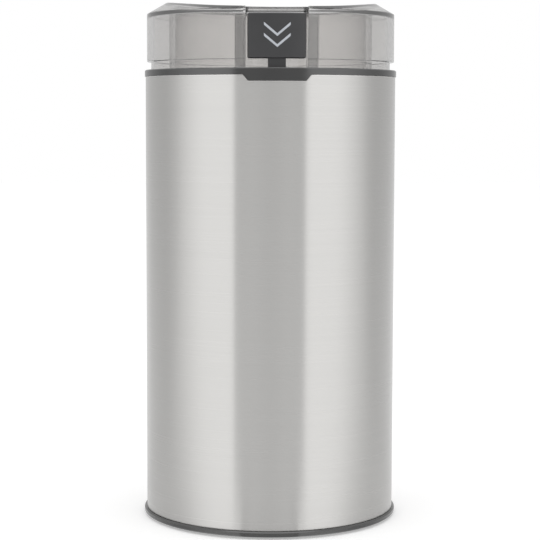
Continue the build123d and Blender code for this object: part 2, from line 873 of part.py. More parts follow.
# ---------------------------------------------------------------- button train
def push_button():
    half = button_width / 2
    cap = block(-half, half, -body_radius, -button_back, z_button, z_button + button_height)
    cap = cap & rod(button_front, z_button, z_button + button_height)
    cap = fillet(cap.edges(), button_round)
    stem_half = stem_width / 2
    stem = block(-stem_half, stem_half, -stem_front, -stem_back, z_rod_top, z_button + 1)
    half_tenon = tenon_width / 2
    tenon = block(-half_tenon, half_tenon, -stem_front, -stem_back, z_rod_top - tenon_length, z_rod_top)
    return cap + stem + tenon


def push_rod():
    half = rod_width / 2
    blade_part = block(-half, half, -stem_front, -stem_back, z_rod_low, z_rod_top)
    slot = tenon_width / 2 + shaft_gap
    blade_part -= block(-slot, slot, -body_radius, 0, z_rod_top - tenon_length, z_rod_top + 1)
    reach = switch_y - lever_width / 2
    arm_low = z_nose
    arm_high = z_nose + arm_thickness - slip_gap
    arm = block(-2 * nose_radius, 2 * nose_radius, -stem_back, -reach, arm_low, arm_high)
    nose = rod_y(nose_radius, 0, -switch_y - lever_width / 2, -reach, z_nose)
    peg = rod(spring_peg_radius, z_rod_low - spring_peg_height, z_rod_low, 0, -stem_middle)
    return blade_part + arm + nose + peg


def return_spring():
    spring = coil(spring_radius, spring_wire, z_rod_low - z_shelf, spring_turns)
    return Pos(0, -stem_middle, z_shelf) * spring


# ---------------------------------------------------------------- switch
hinge_x = -lever_arm
switch_hole = switch_screw_radius + shaft_gap
ear_inner = lever_width / 2 + slip_gap
ear_outer = ear_inner + hinge_ear
bracket_screw_y = switch_back - bracket_sheet - bracket_flange / 2


def switch_body():
    half = switch_length / 2
    body = block(-half, half, -switch_front, -switch_back, z_switch, z_switch_top)
    body = chamfer(body.edges().filter_by(Axis.Y), 0.6)
    for side in (-1, 1):
        near = -switch_y + side * ear_inner
        far = -switch_y + side * ear_outer
        low_y = min(near, far)
        ear_low = z_switch_top - 1
        ear_high = z_hinge + hinge_pin_radius + 0.8
        body += block(hinge_x - 1.4, hinge_x + 1.4, low_y, low_y + hinge_ear, ear_low, ear_high)
    pin_reach = ear_outer + 1
    pin_hole = hinge_pin_radius + shaft_gap
    body -= rod_y(pin_hole, hinge_x, -switch_y - pin_reach, -switch_y + pin_reach, z_hinge)
    trough = hinge_barrel_radius + move_gap
    body -= rod_y(trough, hinge_x, -switch_y - ear_inner, -switch_y + ear_inner, z_hinge)
    well_low = z_switch_top - plunger_length - 1
    well = (plunger_radius + shaft_gap, well_low, z_switch_top + 1)
    body -= rod(*well, hinge_x + plunger_offset, -switch_y)
    for x in (-switch_hole_pitch / 2, switch_hole_pitch / 2):
        body -= rod_y(switch_hole, x, -switch_front - 1, -switch_back + 1, z_switch_screw)
    return body


def switch_terminals():
    tabs = []
    for x in (-terminal_x, terminal_x):
        half = terminal_thickness / 2
        near = -switch_y - terminal_width / 2
        far = near + terminal_width
        tabs.append(block(x - half, x + half, near, far, z_switch - terminal_length, z_switch))
    return group(tabs)


def switch_lever():
    half = lever_width / 2
    strip = block(0, lever_length, -half, half, -lever_thickness / 2, lever_thickness / 2)
    strip += rod_y(hinge_barrel_radius, 0, -half, half, 0)
    strip += rod_y(hinge_pin_radius, 0, -half - hinge_ear, half + hinge_ear, 0)
    return Pos(hinge_x, -switch_y, z_hinge) * Rot(0, -lever_angle, 0) * strip


def switch_plunger():
    high = z_switch_top + plunger_proud
    return rod(plunger_radius, high - plunger_length, high, hinge_x + plunger_offset, -switch_y)


def switch_bracket():
    half = switch_length / 2
    inner = switch_back - bracket_sheet
    plate = block(-half, half, -switch_back, -inner, z_shelf - bracket_sheet, z_cup_under)
    flange_low = z_cup_under - bracket_sheet
    plate += block(-half, half, -switch_back, -inner + bracket_flange, flange_low, z_cup_under)
    shelf_reach = stem_middle + spring_radius
    shelf_half = shelf_width / 2
    plate += block(-shelf_half, shelf_half, -shelf_reach, -inner, z_shelf - bracket_sheet, z_shelf)
    peg_top = z_shelf + spring_peg_height
    plate += rod(spring_peg_radius, z_shelf - bracket_sheet, peg_top, 0, -stem_middle)
    for x in (-switch_hole_pitch / 2, switch_hole_pitch / 2):
        plate -= rod_y(switch_hole, x, -switch_back - 1, -inner + 1, z_switch_screw)
    hole = (bracket_screw_radius + shaft_gap, flange_low - 1, z_cup_under + 1)
    for x in (-bracket_screw_x, bracket_screw_x):
        plate -= rod(*hole, x, -bracket_screw_y)
    return plate


nut_height = 2.4
nut_radius = 3.0


def switch_screws():
    screws = []
    end = -switch_back + bracket_sheet + nut_height
    for x in (-switch_hole_pitch / 2, switch_hole_pitch / 2):
        head = rod_y(1.8 * switch_screw_radius, x, -switch_front - 2, -switch_front, z_switch_screw)
        screws.append(head + rod_y(switch_screw_radius, x, -switch_front, end, z_switch_screw))
    return group(screws)


def switch_nuts():
    nuts = []
    start = -switch_back + bracket_sheet
    for x in (-switch_hole_pitch / 2, switch_hole_pitch / 2):
        hexagon = Pos(x, start, z_switch_screw) * Rot(-90, 0, 0) * RegularPolygon(nut_radius, 6)
        nut = extrude(hexagon, nut_height)
        nut -= rod_y(switch_hole, x, start - 1, start + nut_height + 1, z_switch_screw)
        nuts.append(nut)
    return group(nuts)


def bracket_screws():
    screws = []
    low = z_cup_under - bracket_sheet
    for x in (-bracket_screw_x, bracket_screw_x):
        head = rod(1.9 * bracket_screw_radius, low - 1.6, low, x, -bracket_screw_y)
        screws.append(head + rod(bracket_screw_radius, low, z_cup_floor - 1, x, -bracket_screw_y))
    return group(screws)


# ---------------------------------------------------------------- mains entry
def cord_gland():
    flange = gland_radius + gland_flange
    face = body_radius + gland_proud
    outside = rod_y(flange, 0, body_radius - 3, face, gland_height)
    outside -= rod(body_radius + shaft_gap, 0, z_sleeve_top)
    inside = rod_y(flange, 0, body_radius - 3, body_radius, gland_height)
    inside = inside & rod(sleeve_inner - shaft_gap, 0, z_sleeve_top)
    sleeve = rod_y(gland_radius, 0, face - gland_length, face, gland_height)
    gland = outside + inside + sleeve
    return gland - rod_y(gland_bore, 0, 0, rim_radius + 1, gland_height)


def cord_clamp():
    half = clamp_length / 2
    front = clamp_y - clamp_depth / 2
    low = gland_height + slip_gap
    clamp = block(-half, half, front, front + clamp_depth, low, low + clamp_height)
    clamp = fillet(clamp.edges().filter_by(Axis.Z), 1.5)
    clamp -= rod_y(gland_bore, 0, clamp_y - clamp_depth, clamp_y + clamp_depth, gland_height)
    for x in (-clamp_screw_x, clamp_screw_x):
        clamp -= rod(clamp_screw_radius + shaft_gap, low - 1, low + clamp_height + 1, x, clamp_y)
    return clamp


def clamp_screws():
    screws = []
    top = gland_height + slip_gap + clamp_height
    for x in (-clamp_screw_x, clamp_screw_x):
        head = rod(1.8 * clamp_screw_radius, top, top + 1.8, x, clamp_y)
        screws.append(head + rod(clamp_screw_radius, gland_height - clamp_screw_bite, top, x, clamp_y))
    return group(screws)


def terminal_block():
    half = block_length / 2
    low_y = -block_y - block_depth / 2
    top = z_floor + block_height
    body = block(-half, half, low_y, low_y + block_depth, z_floor, top)
    for x in (-block_length / 4, block_length / 4):
        body -= rod(block_hole_radius, top - 3, top + 1, x, low_y + block_depth * 0.75)
        body -= rod_y(block_hole_radius, x, low_y - 1, low_y + block_depth / 2, z_floor + block_height / 2)
    return body


def suppression_capacitor():
    half = capacitor_length / 2
    low_x = -capacitor_x - capacitor_depth / 2
    can = block(low_x, low_x + capacitor_depth, -half, half, z_floor, z_floor + capacitor_height)
    return fillet(can.edges().filter_by(Axis.Z), 1.0)


def lead(points):
    """Insulated wire on straight runs joined by tangent arcs as large as the runs allow."""
    vectors = [Vector(*p) for p in points]
    radii = []
    for before, corner, after in zip(vectors, vectors[1:], vectors[2:]):
        first = corner - before
        second = after - corner
        turn = first.get_angle(second)
        radii.append(0.45 * min(first.length, second.length) / tan(radians(turn / 2)))
    path = FilletPolyline(*points, radius=radii)
    return sweep(Plane(path @ 0, z_dir=path % 0) * Circle(lead_radius), path=path)


def leads():
    """Block to switch, switch to field coil, and block to the right-hand brush."""
    block_top = z_floor + block_height + slip_gap
    end_gap = 0.7 * lead_radius
    wire_x = block_length / 4
    tab_low = z_switch - terminal_length - slip_gap
    middle = (block_top + tab_low) / 2
    coil_middle = (coil_inner + coil_outer) / 2
    coil_low = z_stator - coil_overhang - end_gap
    outside = -switch_y - 1.5 * lead_bow
    holder_end = brush_back + brush_spring_length + holder_wall + end_gap
    z_under = (z_floor + z_lower_under) / 2 - 1.5 * lead_bow
    to_switch = [
        (-wire_x, -block_y, block_top),
        (-wire_x - lead_bow, outside - lead_bow, block_top + 14 * lead_bow),
        (-terminal_x - lead_bow, outside - lead_bow / 2, middle + 8 * lead_bow),
        (-terminal_x, -switch_y, tab_low),
    ]
    to_coil = [
        (terminal_x, -switch_y, tab_low),
        (terminal_x + lead_bow, outside, tab_low - 16 * lead_bow),
        (terminal_x, outside + 2 * lead_bow, coil_low - 9 * lead_bow),
        (terminal_x - lead_bow, -coil_middle - 4 * lead_bow, coil_low - 10 * lead_bow),
        (terminal_x - lead_bow, -coil_middle + 2 * lead_bow, coil_low),
    ]
    to_brush = [
        (wire_x, -block_y + block_depth / 2 + end_gap, z_floor + block_height / 2),
        (wire_x + 4 * lead_bow, -coil_outer + 2 * lead_bow, z_under),
        (coil_outer + 3 * lead_bow, -8 * lead_bow, z_under),
        (holder_end + 3 * lead_bow, -lead_bow, z_under + 8 * lead_bow),
        (holder_end + 4.5 * lead_bow, 0, z_brush - 3 * lead_bow),
        (holder_end, 0, z_brush),
    ]
    return {"switch_lead": to_switch, "field_lead": to_coil, "brush_lead": to_brush}


pieces = {
    "base_cover": base_cover(),
    "rubber_feet": rubber_feet(),
    "base_screws": base_screws(),
    "steel_sleeve": steel_sleeve(),
    "top_collar": top_collar(),
    "collar_screws": collar_screws(),
    "motor_housing": motor_housing(),
    "grinding_bowl": grinding_bowl(),
    "bowl_gasket": bowl_gasket(),
    "bowl_ring_nut": bowl_ring_nut(),
    "shaft_seal": shaft_seal(),
    "upper_bracket": upper_bracket(),
    "lower_bracket": lower_bracket(),
    "upper_bearing": bush(z_bracket - bush_length),
    "lower_bearing": bush(z_lower_bracket - bush_length),
    "stator_core": stator_core(),
    "field_coils": group([field_coil(0), field_coil(180)]),
    "motor_bolts": motor_bolts(),
    "motor_grommets": motor_grommets(),
    "brush_holders": group([brush_holder(0), brush_holder(180)]),
    "carbon_brushes": group([carbon_brush(0), carbon_brush(180)]),
    "brush_springs": group([brush_spring(0), brush_spring(180)]),
    "rotor_shaft": rotor_shaft(),
    "armature_core": armature_core(),
    "armature_winding": armature_winding(),
    "commutator": commutator(),
    "cooling_fan": cooling_fan(),
    "blade_collar": blade_collar(),
    "blade": blade(),
    "blade_nut": blade_nut(),
    "lid": lid(),
    "push_button": push_button(),
    "push_rod": push_rod(),
    "return_spring": return_spring(),
    "switch_body": switch_body(),
    "switch_terminals": switch_terminals(),
    "switch_lever": switch_lever(),
    "switch_plunger": switch_plunger(),
    "switch_bracket": switch_bracket(),
    "switch_screws": switch_screws(),
    "switch_nuts": switch_nuts(),
    "bracket_screws": bracket_screws(),
    "cord_gland": cord_gland(),
    "cord_clamp": cord_clamp(),
    "clamp_screws": clamp_screws(),
    "terminal_block": terminal_block(),
    "suppression_capacitor": suppression_capacitor(),
}
for name, route in leads().items():
    pieces[name] = lead(route)
for name, shape in pieces.items():
    save(name, shape)
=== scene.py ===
from math import pi, radians

import bmesh
import bpy
import numpy as np
from mathutils import Matrix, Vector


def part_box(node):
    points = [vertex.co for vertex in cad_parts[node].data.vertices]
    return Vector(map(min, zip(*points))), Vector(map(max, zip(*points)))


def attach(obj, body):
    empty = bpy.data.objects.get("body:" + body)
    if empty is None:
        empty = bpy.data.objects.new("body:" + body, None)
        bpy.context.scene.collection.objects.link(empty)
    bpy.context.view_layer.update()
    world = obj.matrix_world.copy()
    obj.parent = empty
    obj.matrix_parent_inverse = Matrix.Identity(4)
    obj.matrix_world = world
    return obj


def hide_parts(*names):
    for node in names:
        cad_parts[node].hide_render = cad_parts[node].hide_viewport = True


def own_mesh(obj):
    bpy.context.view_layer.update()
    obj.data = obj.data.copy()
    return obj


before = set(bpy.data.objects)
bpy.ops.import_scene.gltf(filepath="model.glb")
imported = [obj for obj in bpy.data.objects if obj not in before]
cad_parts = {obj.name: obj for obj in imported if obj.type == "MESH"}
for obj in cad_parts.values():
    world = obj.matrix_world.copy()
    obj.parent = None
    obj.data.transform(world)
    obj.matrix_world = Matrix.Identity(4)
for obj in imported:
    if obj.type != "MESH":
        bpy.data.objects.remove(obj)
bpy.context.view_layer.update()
mm = 0.001


# ---------------------------------------------------------------- floor
# A pale table top under the grinder. It shows white to the eye and in metal and glass, and it keeps
# the soft shadow round the base. Polished metal also finds the two bright screens mirrored in it.
floor_half = 3.0
floor_paper = 0.8
floor_rough = 0.9
floor_lift = 0.36
floor_glow = 0.55
near_widen = 1.6
near_power = 1.5
back_dim = 0.1
near_reach = 43.0 * mm
# Under the base, between these two radii, the floor's lift fades out: a painted shade under the grinder.
painted_shade_radius = 34.0 * mm
painted_shade_end = 40.0 * mm
viewer_turn = -2.93
viewer_level = 0.02
screen_stops = ((0.05, 0.09), (0.088, 0.0), (0.096, 1.0), (0.165, 1.0), (0.32, 0.0))
white = (1, 1, 1, 1)


def plug(tree, node, inputs):
    """Fills a node's inputs; each gets a number, a colour, or another node's output."""
    for socket, value in inputs.items():
        if isinstance(value, bpy.types.NodeSocket):
            tree.links.new(value, node.inputs[socket])
        else:
            node.inputs[socket].default_value = value


def add_node(tree, kind, inputs=None, **settings):
    """A new shader node of this kind with its settings and inputs."""
    node = tree.nodes.new("ShaderNode" + kind)
    for name, value in settings.items():
        setattr(node, name, value)
    plug(tree, node, inputs or {})
    return node


def math_node(tree, operation, *values):
    """The result of one operation on numbers or outputs."""
    return add_node(tree, "Math", dict(enumerate(values)), operation=operation).outputs[0]


def new_group(name, inputs, outputs):
    """A node group with these named sockets, and the nodes that hold them inside it."""
    group = bpy.data.node_groups.new(name, "ShaderNodeTree")
    for way, sockets in (("INPUT", inputs), ("OUTPUT", outputs)):
        for label, kind in sockets.items():
            group.interface.new_socket(label, in_out=way, socket_type="NodeSocket" + kind)
    return group, group.nodes.new("NodeGroupInput").outputs, group.nodes.new("NodeGroupOutput")


def screen_group():
    """One towards the two tall screens that stand left and right of the viewer, nought elsewhere, by the
    bearing of a direction from the line of view. They start sharply near it and fade away to the back."""
    sockets = {"Direction": "Vector", "Widen": "Float"}
    group, given, result = new_group("tall screens", sockets, {"Mask": "Float"})
    from_view = {"Vector": given["Direction"], "Rotation": (0, 0, radians(-viewer_turn))}
    turned = add_node(group, "Mapping", from_view)
    parts = add_node(group, "SeparateXYZ", {"Vector": turned.outputs["Vector"]}).outputs
    aside = math_node(group, "ABSOLUTE", parts["X"])
    ahead = math_node(group, "MULTIPLY", parts["Y"], -1.0)
    turns = math_node(group, "DIVIDE", math_node(group, "ARCTAN2", aside, ahead), 2 * pi)
    screens = add_node(group, "ValToRGB", {"Fac": math_node(group, "MULTIPLY", turns, given["Widen"])})
    stops = screens.color_ramp.elements
    screens.color_ramp.interpolation = "EASE"
    stops.remove(stops[1])
    stops[0].color = (viewer_level, viewer_level, viewer_level, 1)
    for turn, shade in screen_stops:
        stops.new(turn).color = (shade, shade, shade, 1)
    plug(group, result, {"Mask": screens.outputs["Color"]})
    return group


tall_screens = screen_group()
corners = [(-floor_half, -floor_half, 0), (floor_half, -floor_half, 0)]
corners += [(floor_half, floor_half, 0), (-floor_half, floor_half, 0)]
table_sheet = bpy.data.meshes.new("table_top")
table_sheet.from_pydata(corners, [], [(0, 1, 2, 3)])
table_top = bpy.data.objects.new("table_top", table_sheet)
bpy.context.scene.collection.objects.link(table_top)
table_paint = bpy.data.materials.new("table_paint")
table_paint.use_nodes = True
tree = table_paint.node_tree
place = add_node(tree, "TexCoord").outputs["Object"]
away = add_node(tree, "VectorMath", {0: place}, operation="LENGTH").outputs["Value"]
nearness = math_node(tree, "POWER", math_node(tree, "DIVIDE", near_reach, away), near_power)
widen = math_node(tree, "MULTIPLY_ADD", nearness, near_widen, 1.0)
glow = add_node(tree, "Group", {"Direction": place, "Widen": widen}, node_tree=tall_screens)
parts = add_node(tree, "SeparateXYZ", {"Vector": place}).outputs
dimming = {"From Max": near_reach, "To Min": floor_lift, "To Max": floor_lift - back_dim}
backward = add_node(tree, "MapRange", {"Value": parts["Y"], **dimming})
mirrored = math_node(tree, "MULTIPLY_ADD", glow.outputs["Mask"], floor_glow, backward.outputs[0])
rays = add_node(tree, "LightPath").outputs
plain = math_node(tree, "MAXIMUM", rays["Is Camera Ray"], rays["Is Transmission Ray"])
# Painted shade: the lift fades to nought under the base, so the floor beneath the grinder shows darker.
painted_shade_fade = {"From Min": painted_shade_radius, "From Max": painted_shade_end, "To Max": floor_lift}
lift_outside_painted_shade = add_node(tree, "MapRange", {"Value": away, **painted_shade_fade})
lift = math_node(tree, "MULTIPLY", plain, lift_outside_painted_shade.outputs[0])
level = add_node(tree, "Mix", {0: rays["Is Glossy Ray"], 2: lift, 3: mirrored})
plug(tree, tree.nodes["Principled BSDF"], {
    "Base Color": (floor_paper, floor_paper, floor_paper, 1), "Roughness": floor_rough,
    "Specular IOR Level": 0.0, "Emission Color": white, "Emission Strength": level.outputs[0],
})
table_sheet.materials.append(table_paint)


# ---------------------------------------------------------------- surrounding light
# A white room with two tall bright screens, left and right of the viewer. Their near edges are the
# upright steps in the steel. They end a little above and below eye level.
screen_level = 1.06
screen_low = 0.25
screen_high = 0.8
room_level = 0.72
room_rise = 0.5
fill_level = 0.8
overhead_size = (1.4, 1.0)
overhead_power = 4.0
overhead_place = (0, -0.1, 1.5)

world = bpy.data.worlds.new("white_room")
bpy.context.scene.world = world
world.use_nodes = True
tree = world.node_tree
direction = add_node(tree, "TexCoord").outputs["Generated"]
glow = add_node(tree, "Group", {"Direction": direction, "Widen": 1.0}, node_tree=tall_screens)
parts = add_node(tree, "SeparateXYZ", {"Vector": direction}).outputs
ending = {"From Min": screen_low, "From Max": screen_high, "To Min": 1.0, "To Max": 0.0}
by_height = {"Value": math_node(tree, "ABSOLUTE", parts["Z"]), **ending}
level_part = add_node(tree, "MapRange", by_height, interpolation_type="SMOOTHSTEP").outputs[0]
screen_part = math_node(tree, "MULTIPLY", glow.outputs["Mask"], level_part)
room = math_node(tree, "MULTIPLY_ADD", level_part, -room_rise, room_level + room_rise)
screened = math_node(tree, "MULTIPLY_ADD", screen_part, screen_level, room)
rays = add_node(tree, "LightPath").outputs
plain = math_node(tree, "MAXIMUM", rays["Is Camera Ray"], rays["Is Transmission Ray"])
glossy = add_node(tree, "Mix", {0: rays["Is Glossy Ray"], 2: fill_level, 3: screened})
level = add_node(tree, "Mix", {0: plain, 2: glossy.outputs[0], 3: 1.0})
plug(tree, tree.nodes["Background"], {"Color": white, "Strength": level.outputs[0]})

overhead_light = bpy.data.lights.new("overhead_light", "AREA")
overhead_light.shape = "RECTANGLE"
overhead_light.size, overhead_light.size_y = overhead_size
overhead_light.energy = overhead_power
overhead = bpy.data.objects.new("overhead_light", overhead_light)
overhead.location = overhead_place
bpy.context.scene.collection.objects.link(overhead)


# ---------------------------------------------------------------- camera
# It stands 0.59 m from the grinder's axis, a little to the left and just under the collar's height, and
# looks slightly down.
camera_distance = 593.8 * mm
camera_height = 138.25 * mm
camera_pitch = 5.123
camera_roll = 0.142
camera_lens = 113.87
camera_film = 36.0

lens = bpy.data.cameras.new("camera")
lens.sensor_fit = "HORIZONTAL"
lens.sensor_width = camera_film
lens.lens = camera_lens
camera = bpy.data.objects.new("camera", lens)
bpy.context.scene.collection.objects.link(camera)
bpy.context.scene.camera = camera
camera.location = (
    camera_distance * np.sin(radians(viewer_turn)),
    -camera_distance * np.cos(radians(viewer_turn)),
    camera_height,
)
camera.rotation_mode = "QUATERNION"
turn = Matrix.Rotation(radians(viewer_turn), 4, "Z")
tilt = Matrix.Rotation(radians(90 - camera_pitch), 4, "X")
roll = Matrix.Rotation(radians(camera_roll), 4, "Z")
camera.rotation_quaternion = (turn @ tilt @ roll).to_quaternion()
bpy.context.scene.view_settings.view_transform = "Standard"


# ---------------------------------------------------------------- steel sleeve
# The body's skin: half-millimetre stainless sheet, rolled to a tube and brushed round and round. Its top
# edge dips at the front for the collar's tab, and a hole at the back takes the cord gland.
sleeve_low, sleeve_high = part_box("steel_sleeve")
sleeve_radius = sleeve_high.x
sleeve_sheet = 0.5 * mm
sleeve_edge = 0.14 * mm
sleeve_columns = 288
sleeve_rows = 22
notch_depth = 2.0 * mm
notch_half_top = 11.15 * mm
notch_half_bottom = 9.5 * mm
gland_low, gland_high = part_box("cord_gland")
gland_height = (gland_low.z + gland_high.z) / 2
gland_hole = 5.05 * mm
gland_window = 6.0 * mm
window_cells = 8
steel_tone = (0.455, 0.45, 0.44)
# How much lighter the painted highlight makes the sleeve's top edge.
highlight_gain = 0.8
noise_middle = {"From Min": 0.3, "From Max": 0.7}


def noise_range(tree, noise, low, high):
    """The middle of a noise's values, spread from low to high."""
    spread = {"Value": noise, **noise_middle, "To Min": low, "To Max": high}
    return add_node(tree, "MapRange", spread).outputs[0]


def brushed_lines_group():
    """Fine parallel scratches: noise squeezed along the lines, as a tone, a roughness and a height."""
    group, given, result = new_group("brushed lines", {
        "Tone": "Color", "Squeeze": "Vector", "Contrast": "Float", "Roughness Low": "Float",
        "Roughness High": "Float",
    }, {"Colour": "Color", "Roughness": "Float", "Height": "Float"})
    place = add_node(group, "TexCoord").outputs["Object"]
    squeezed = add_node(group, "VectorMath", {0: place, 1: given["Squeeze"]}, operation="MULTIPLY").outputs[0]
    fineness = {"Scale": 1.0, "Detail": 4.0, "Roughness": 0.62}
    scratches = add_node(group, "TexNoise", {"Vector": squeezed, **fineness}).outputs["Fac"]
    darker = math_node(group, "SUBTRACT", 1.0, noise_range(group, scratches, 0.0, given["Contrast"]))
    tint = add_node(group, "VectorMath", {0: given["Tone"], "Scale": darker}, operation="SCALE")
    rough = noise_range(group, scratches, given["Roughness Low"], given["Roughness High"])
    plug(group, result, {"Colour": tint.outputs[0], "Roughness": rough, "Height": scratches})
    return group


brushed_lines = brushed_lines_group()


def surface_finish(name, effect, values, bump, settings):
    """A material whose colour, roughness and relief come from a node group with these values; the settings
    are the shader's own."""
    finish = bpy.data.materials.new(name)
    finish.use_nodes = True
    tree = finish.node_tree
    skin = add_node(tree, "Group", values, node_tree=effect).outputs
    relief = add_node(tree, "Bump", {"Height": skin["Height"], "Distance": bump, "Strength": 0.5})
    look = {"Base Color": skin["Colour"], "Roughness": skin["Roughness"], "Normal": relief.outputs["Normal"]}
    plug(tree, tree.nodes["Principled BSDF"], {**look, **settings})
    return finish


def brushed_metal(name, tone, squeeze, contrast, rough, bump, anisotropy=0.0):
    """Bare metal with fine scratches; squeeze is how many there are per metre along each axis, and rough is
    the range of its roughness. With anisotropy its gloss is drawn out across grooves that run round."""
    values = {"Tone": (*tone, 1), "Squeeze": squeeze, "Contrast": contrast}
    values.update({"Roughness Low": rough[0], "Roughness High": rough[1]})
    finish = surface_finish(name, brushed_lines, values, bump, {"Metallic": 1.0, "Anisotropic": anisotropy})
    if anisotropy:
        tree = finish.node_tree
        grooves = add_node(tree, "Tangent", direction_type="RADIAL", axis="Z").outputs["Tangent"]
        plug(tree, tree.nodes["Principled BSDF"], {"Tangent": grooves, "Anisotropic Rotation": 0.25})
    return finish


def angles_round(marks, count):
    """Angles from the front round the axis: the marks, and an even spread without those within one of its
    own steps of a mark, so that none falls between two marks that stand close together."""
    even = np.linspace(-pi / 2, 3 * pi / 2, count, endpoint=False)
    clear = np.min(np.abs(even[:, None] - marks[None, :]), axis=1) > 2 * pi / count
    return np.sort(np.concatenate([even[clear], marks]))


def grid_faces(number):
    """Four-cornered faces between the neighbouring lines and rows of a grid of point numbers."""
    return np.stack([number[:-1, :-1], number[1:, :-1], number[1:, 1:], number[:-1, 1:]], axis=2)


def smooth_faces(mesh):
    """Shades all faces of the mesh smooth."""
    mesh.polygons.foreach_set("use_smooth", np.ones(len(mesh.polygons), dtype=bool))


def shape_object(name, vertices, faces):
    """A mesh object at the origin with smooth faces."""
    mesh = bpy.data.meshes.new(name)
    mesh.from_pydata(np.asarray(vertices).tolist(), [], np.asarray(faces).tolist())
    smooth_faces(mesh)
    mesh.update()
    piece = bpy.data.objects.new(name, mesh)
    bpy.context.scene.collection.objects.link(piece)
    return piece


def thicken(piece, thickness):
    """Gives a surface its wall, inwards from its outer face."""
    wall = piece.modifiers.new("wall", "SOLIDIFY")
    wall.thickness = thickness
    wall.offset = -1


def round_edges(piece, width, angle):
    """Rounds the edges that turn by more than the angle."""
    edge = piece.modifiers.new("edges", "BEVEL")
    edge.width = width
    edge.segments = 3
    edge.limit_method = "ANGLE"
    edge.angle_limit = radians(angle)
    return edge


def sleeve_surface():
    """Columns round the axis times rows up the wall; the rows follow the top edge, which falls from full
    height to the notch's floor between its two half-widths. A square window at the back is filled with
    a ring of faces that runs from the square to the round hole."""
    spread = np.linspace(-gland_window, gland_window, window_cells + 1)
    back = pi + spread / sleeve_radius
    slope = np.arcsin(np.array([notch_half_bottom, notch_half_top]) / sleeve_radius)
    angle = angles_round(np.concatenate([-slope, slope, back]), sleeve_columns)
    reach = np.abs(sleeve_radius * np.sin(angle))
    dip = np.interp(reach, [notch_half_bottom, notch_half_top], [notch_depth, 0])
    dip[np.cos(angle) < 0] = 0
    top = sleeve_high.z - dip
    near_edge = 3 * sleeve_edge
    fixed = np.concatenate([[sleeve_low.z, sleeve_low.z + near_edge], gland_height + spread])
    lower = np.repeat(fixed[None, :], len(angle), axis=0)
    part = np.linspace(0, 1, sleeve_rows)[1:]
    upper = fixed[-1] + (top[:, None] - near_edge - fixed[-1]) * part[None, :]
    height = np.concatenate([lower, upper, top[:, None]], axis=1)
    x = sleeve_radius * np.sin(angle)[:, None] + 0 * height
    y = -sleeve_radius * np.cos(angle)[:, None] + 0 * height
    points = np.stack([x, y, height], axis=2).reshape(-1, 3)
    number = np.arange(height.size).reshape(height.shape)
    quads = grid_faces(np.concatenate([number, number[:1]]))
    first = int(np.argmin(np.abs(angle - back[0])))
    last = first + window_cells
    kept = np.ones(quads.shape[:2], dtype=bool)
    kept[first:last, 2:2 + window_cells] = False
    rim = np.concatenate([
        number[first:last, 2],
        number[last, 2:2 + window_cells],
        number[last:first:-1, 2 + window_cells],
        number[first, 2 + window_cells:2:-1],
    ])
    across = (np.arctan2(points[rim, 0], -points[rim, 1]) % (2 * pi) - pi) * sleeve_radius
    up = points[rim, 2] - gland_height
    shrink = gland_hole / np.hypot(across, up)
    hole_angle = pi + across * shrink / sleeve_radius
    hole = np.stack([
        sleeve_radius * np.sin(hole_angle),
        -sleeve_radius * np.cos(hole_angle),
        gland_height + up * shrink,
    ], axis=1)
    inner = len(points) + np.arange(len(rim))
    ring = np.stack([rim, np.roll(rim, -1), np.roll(inner, -1), inner], axis=1)
    return np.concatenate([points, hole]), np.concatenate([quads[kept], ring]), number[:, -1]


sleeve_points, sleeve_faces, top_row = sleeve_surface()
sleeve = shape_object("sleeve_sheet", sleeve_points, sleeve_faces)
# The top row of points is marked for a painted highlight: the steel's tone is lighter along the top edge, for
# the bright line that edge shows under the collar.
edge_highlight = np.zeros(len(sleeve_points))
edge_highlight[top_row] = 1
sleeve.data.attributes.new("painted_highlight_edge", "FLOAT", "POINT").data.foreach_set("value", edge_highlight)
thicken(sleeve, sleeve_sheet)
round_edges(sleeve, sleeve_edge, angle=50)
sleeve_steel = brushed_metal(
    "brushed_sleeve_steel", steel_tone, squeeze=(10, 10, 6500), contrast=0.02, rough=(0.27, 0.31),
    bump=0.0003 * mm, anisotropy=1.0)
tree = sleeve_steel.node_tree
# Painted highlight: the brushed tone is made lighter by the gain on the marked top edge.
painted_highlight = add_node(tree, "Attribute", attribute_name="painted_highlight_edge").outputs["Fac"]
lighter = math_node(tree, "MULTIPLY_ADD", painted_highlight, highlight_gain, 1.0)
brushed_tone = tree.nodes["Group"].outputs["Colour"]
tint = add_node(tree, "VectorMath", {0: brushed_tone, "Scale": lighter}, operation="SCALE")
plug(tree, tree.nodes["Principled BSDF"], {"Base Color": tint.outputs[0]})
sleeve.data.materials.append(sleeve_steel)
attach(sleeve, "housing")
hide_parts("steel_sleeve")


# ---------------------------------------------------------------- base cover
# The moulded bottom: a dark satin disc whose rim stands a little proud of the steel, with air slots and
# the screw and foot seats underneath.
def moulded_grain_group():
    """The skin of a moulding: a slow drift of tone, and fine grains as a height."""
    group, given, result = new_group("moulded grain", {
        "Tone": "Color", "Drift": "Float", "Grain Size": "Float", "Gloss Low": "Float", "Gloss High": "Float",
    }, {"Colour": "Color", "Roughness": "Float", "Height": "Float"})
    place = add_node(group, "TexCoord").outputs["Object"]
    clouds = add_node(group, "TexNoise", {"Vector": place, "Scale": 120.0, "Detail": 3.0}).outputs["Fac"]
    grains = add_node(group, "TexNoise", {"Vector": place, "Scale": given["Grain Size"], "Detail": 1.0})
    drift = math_node(group, "SUBTRACT", clouds, 0.5)
    change = math_node(group, "MULTIPLY_ADD", drift, given["Drift"], 1.0)
    tint = add_node(group, "VectorMath", {0: given["Tone"], "Scale": change}, operation="SCALE")
    gloss = noise_range(group, clouds, given["Gloss Low"], given["Gloss High"])
    plug(group, result, {"Colour": tint.outputs[0], "Roughness": gloss, "Height": grains.outputs["Fac"]})
    return group


moulded_grain = moulded_grain_group()


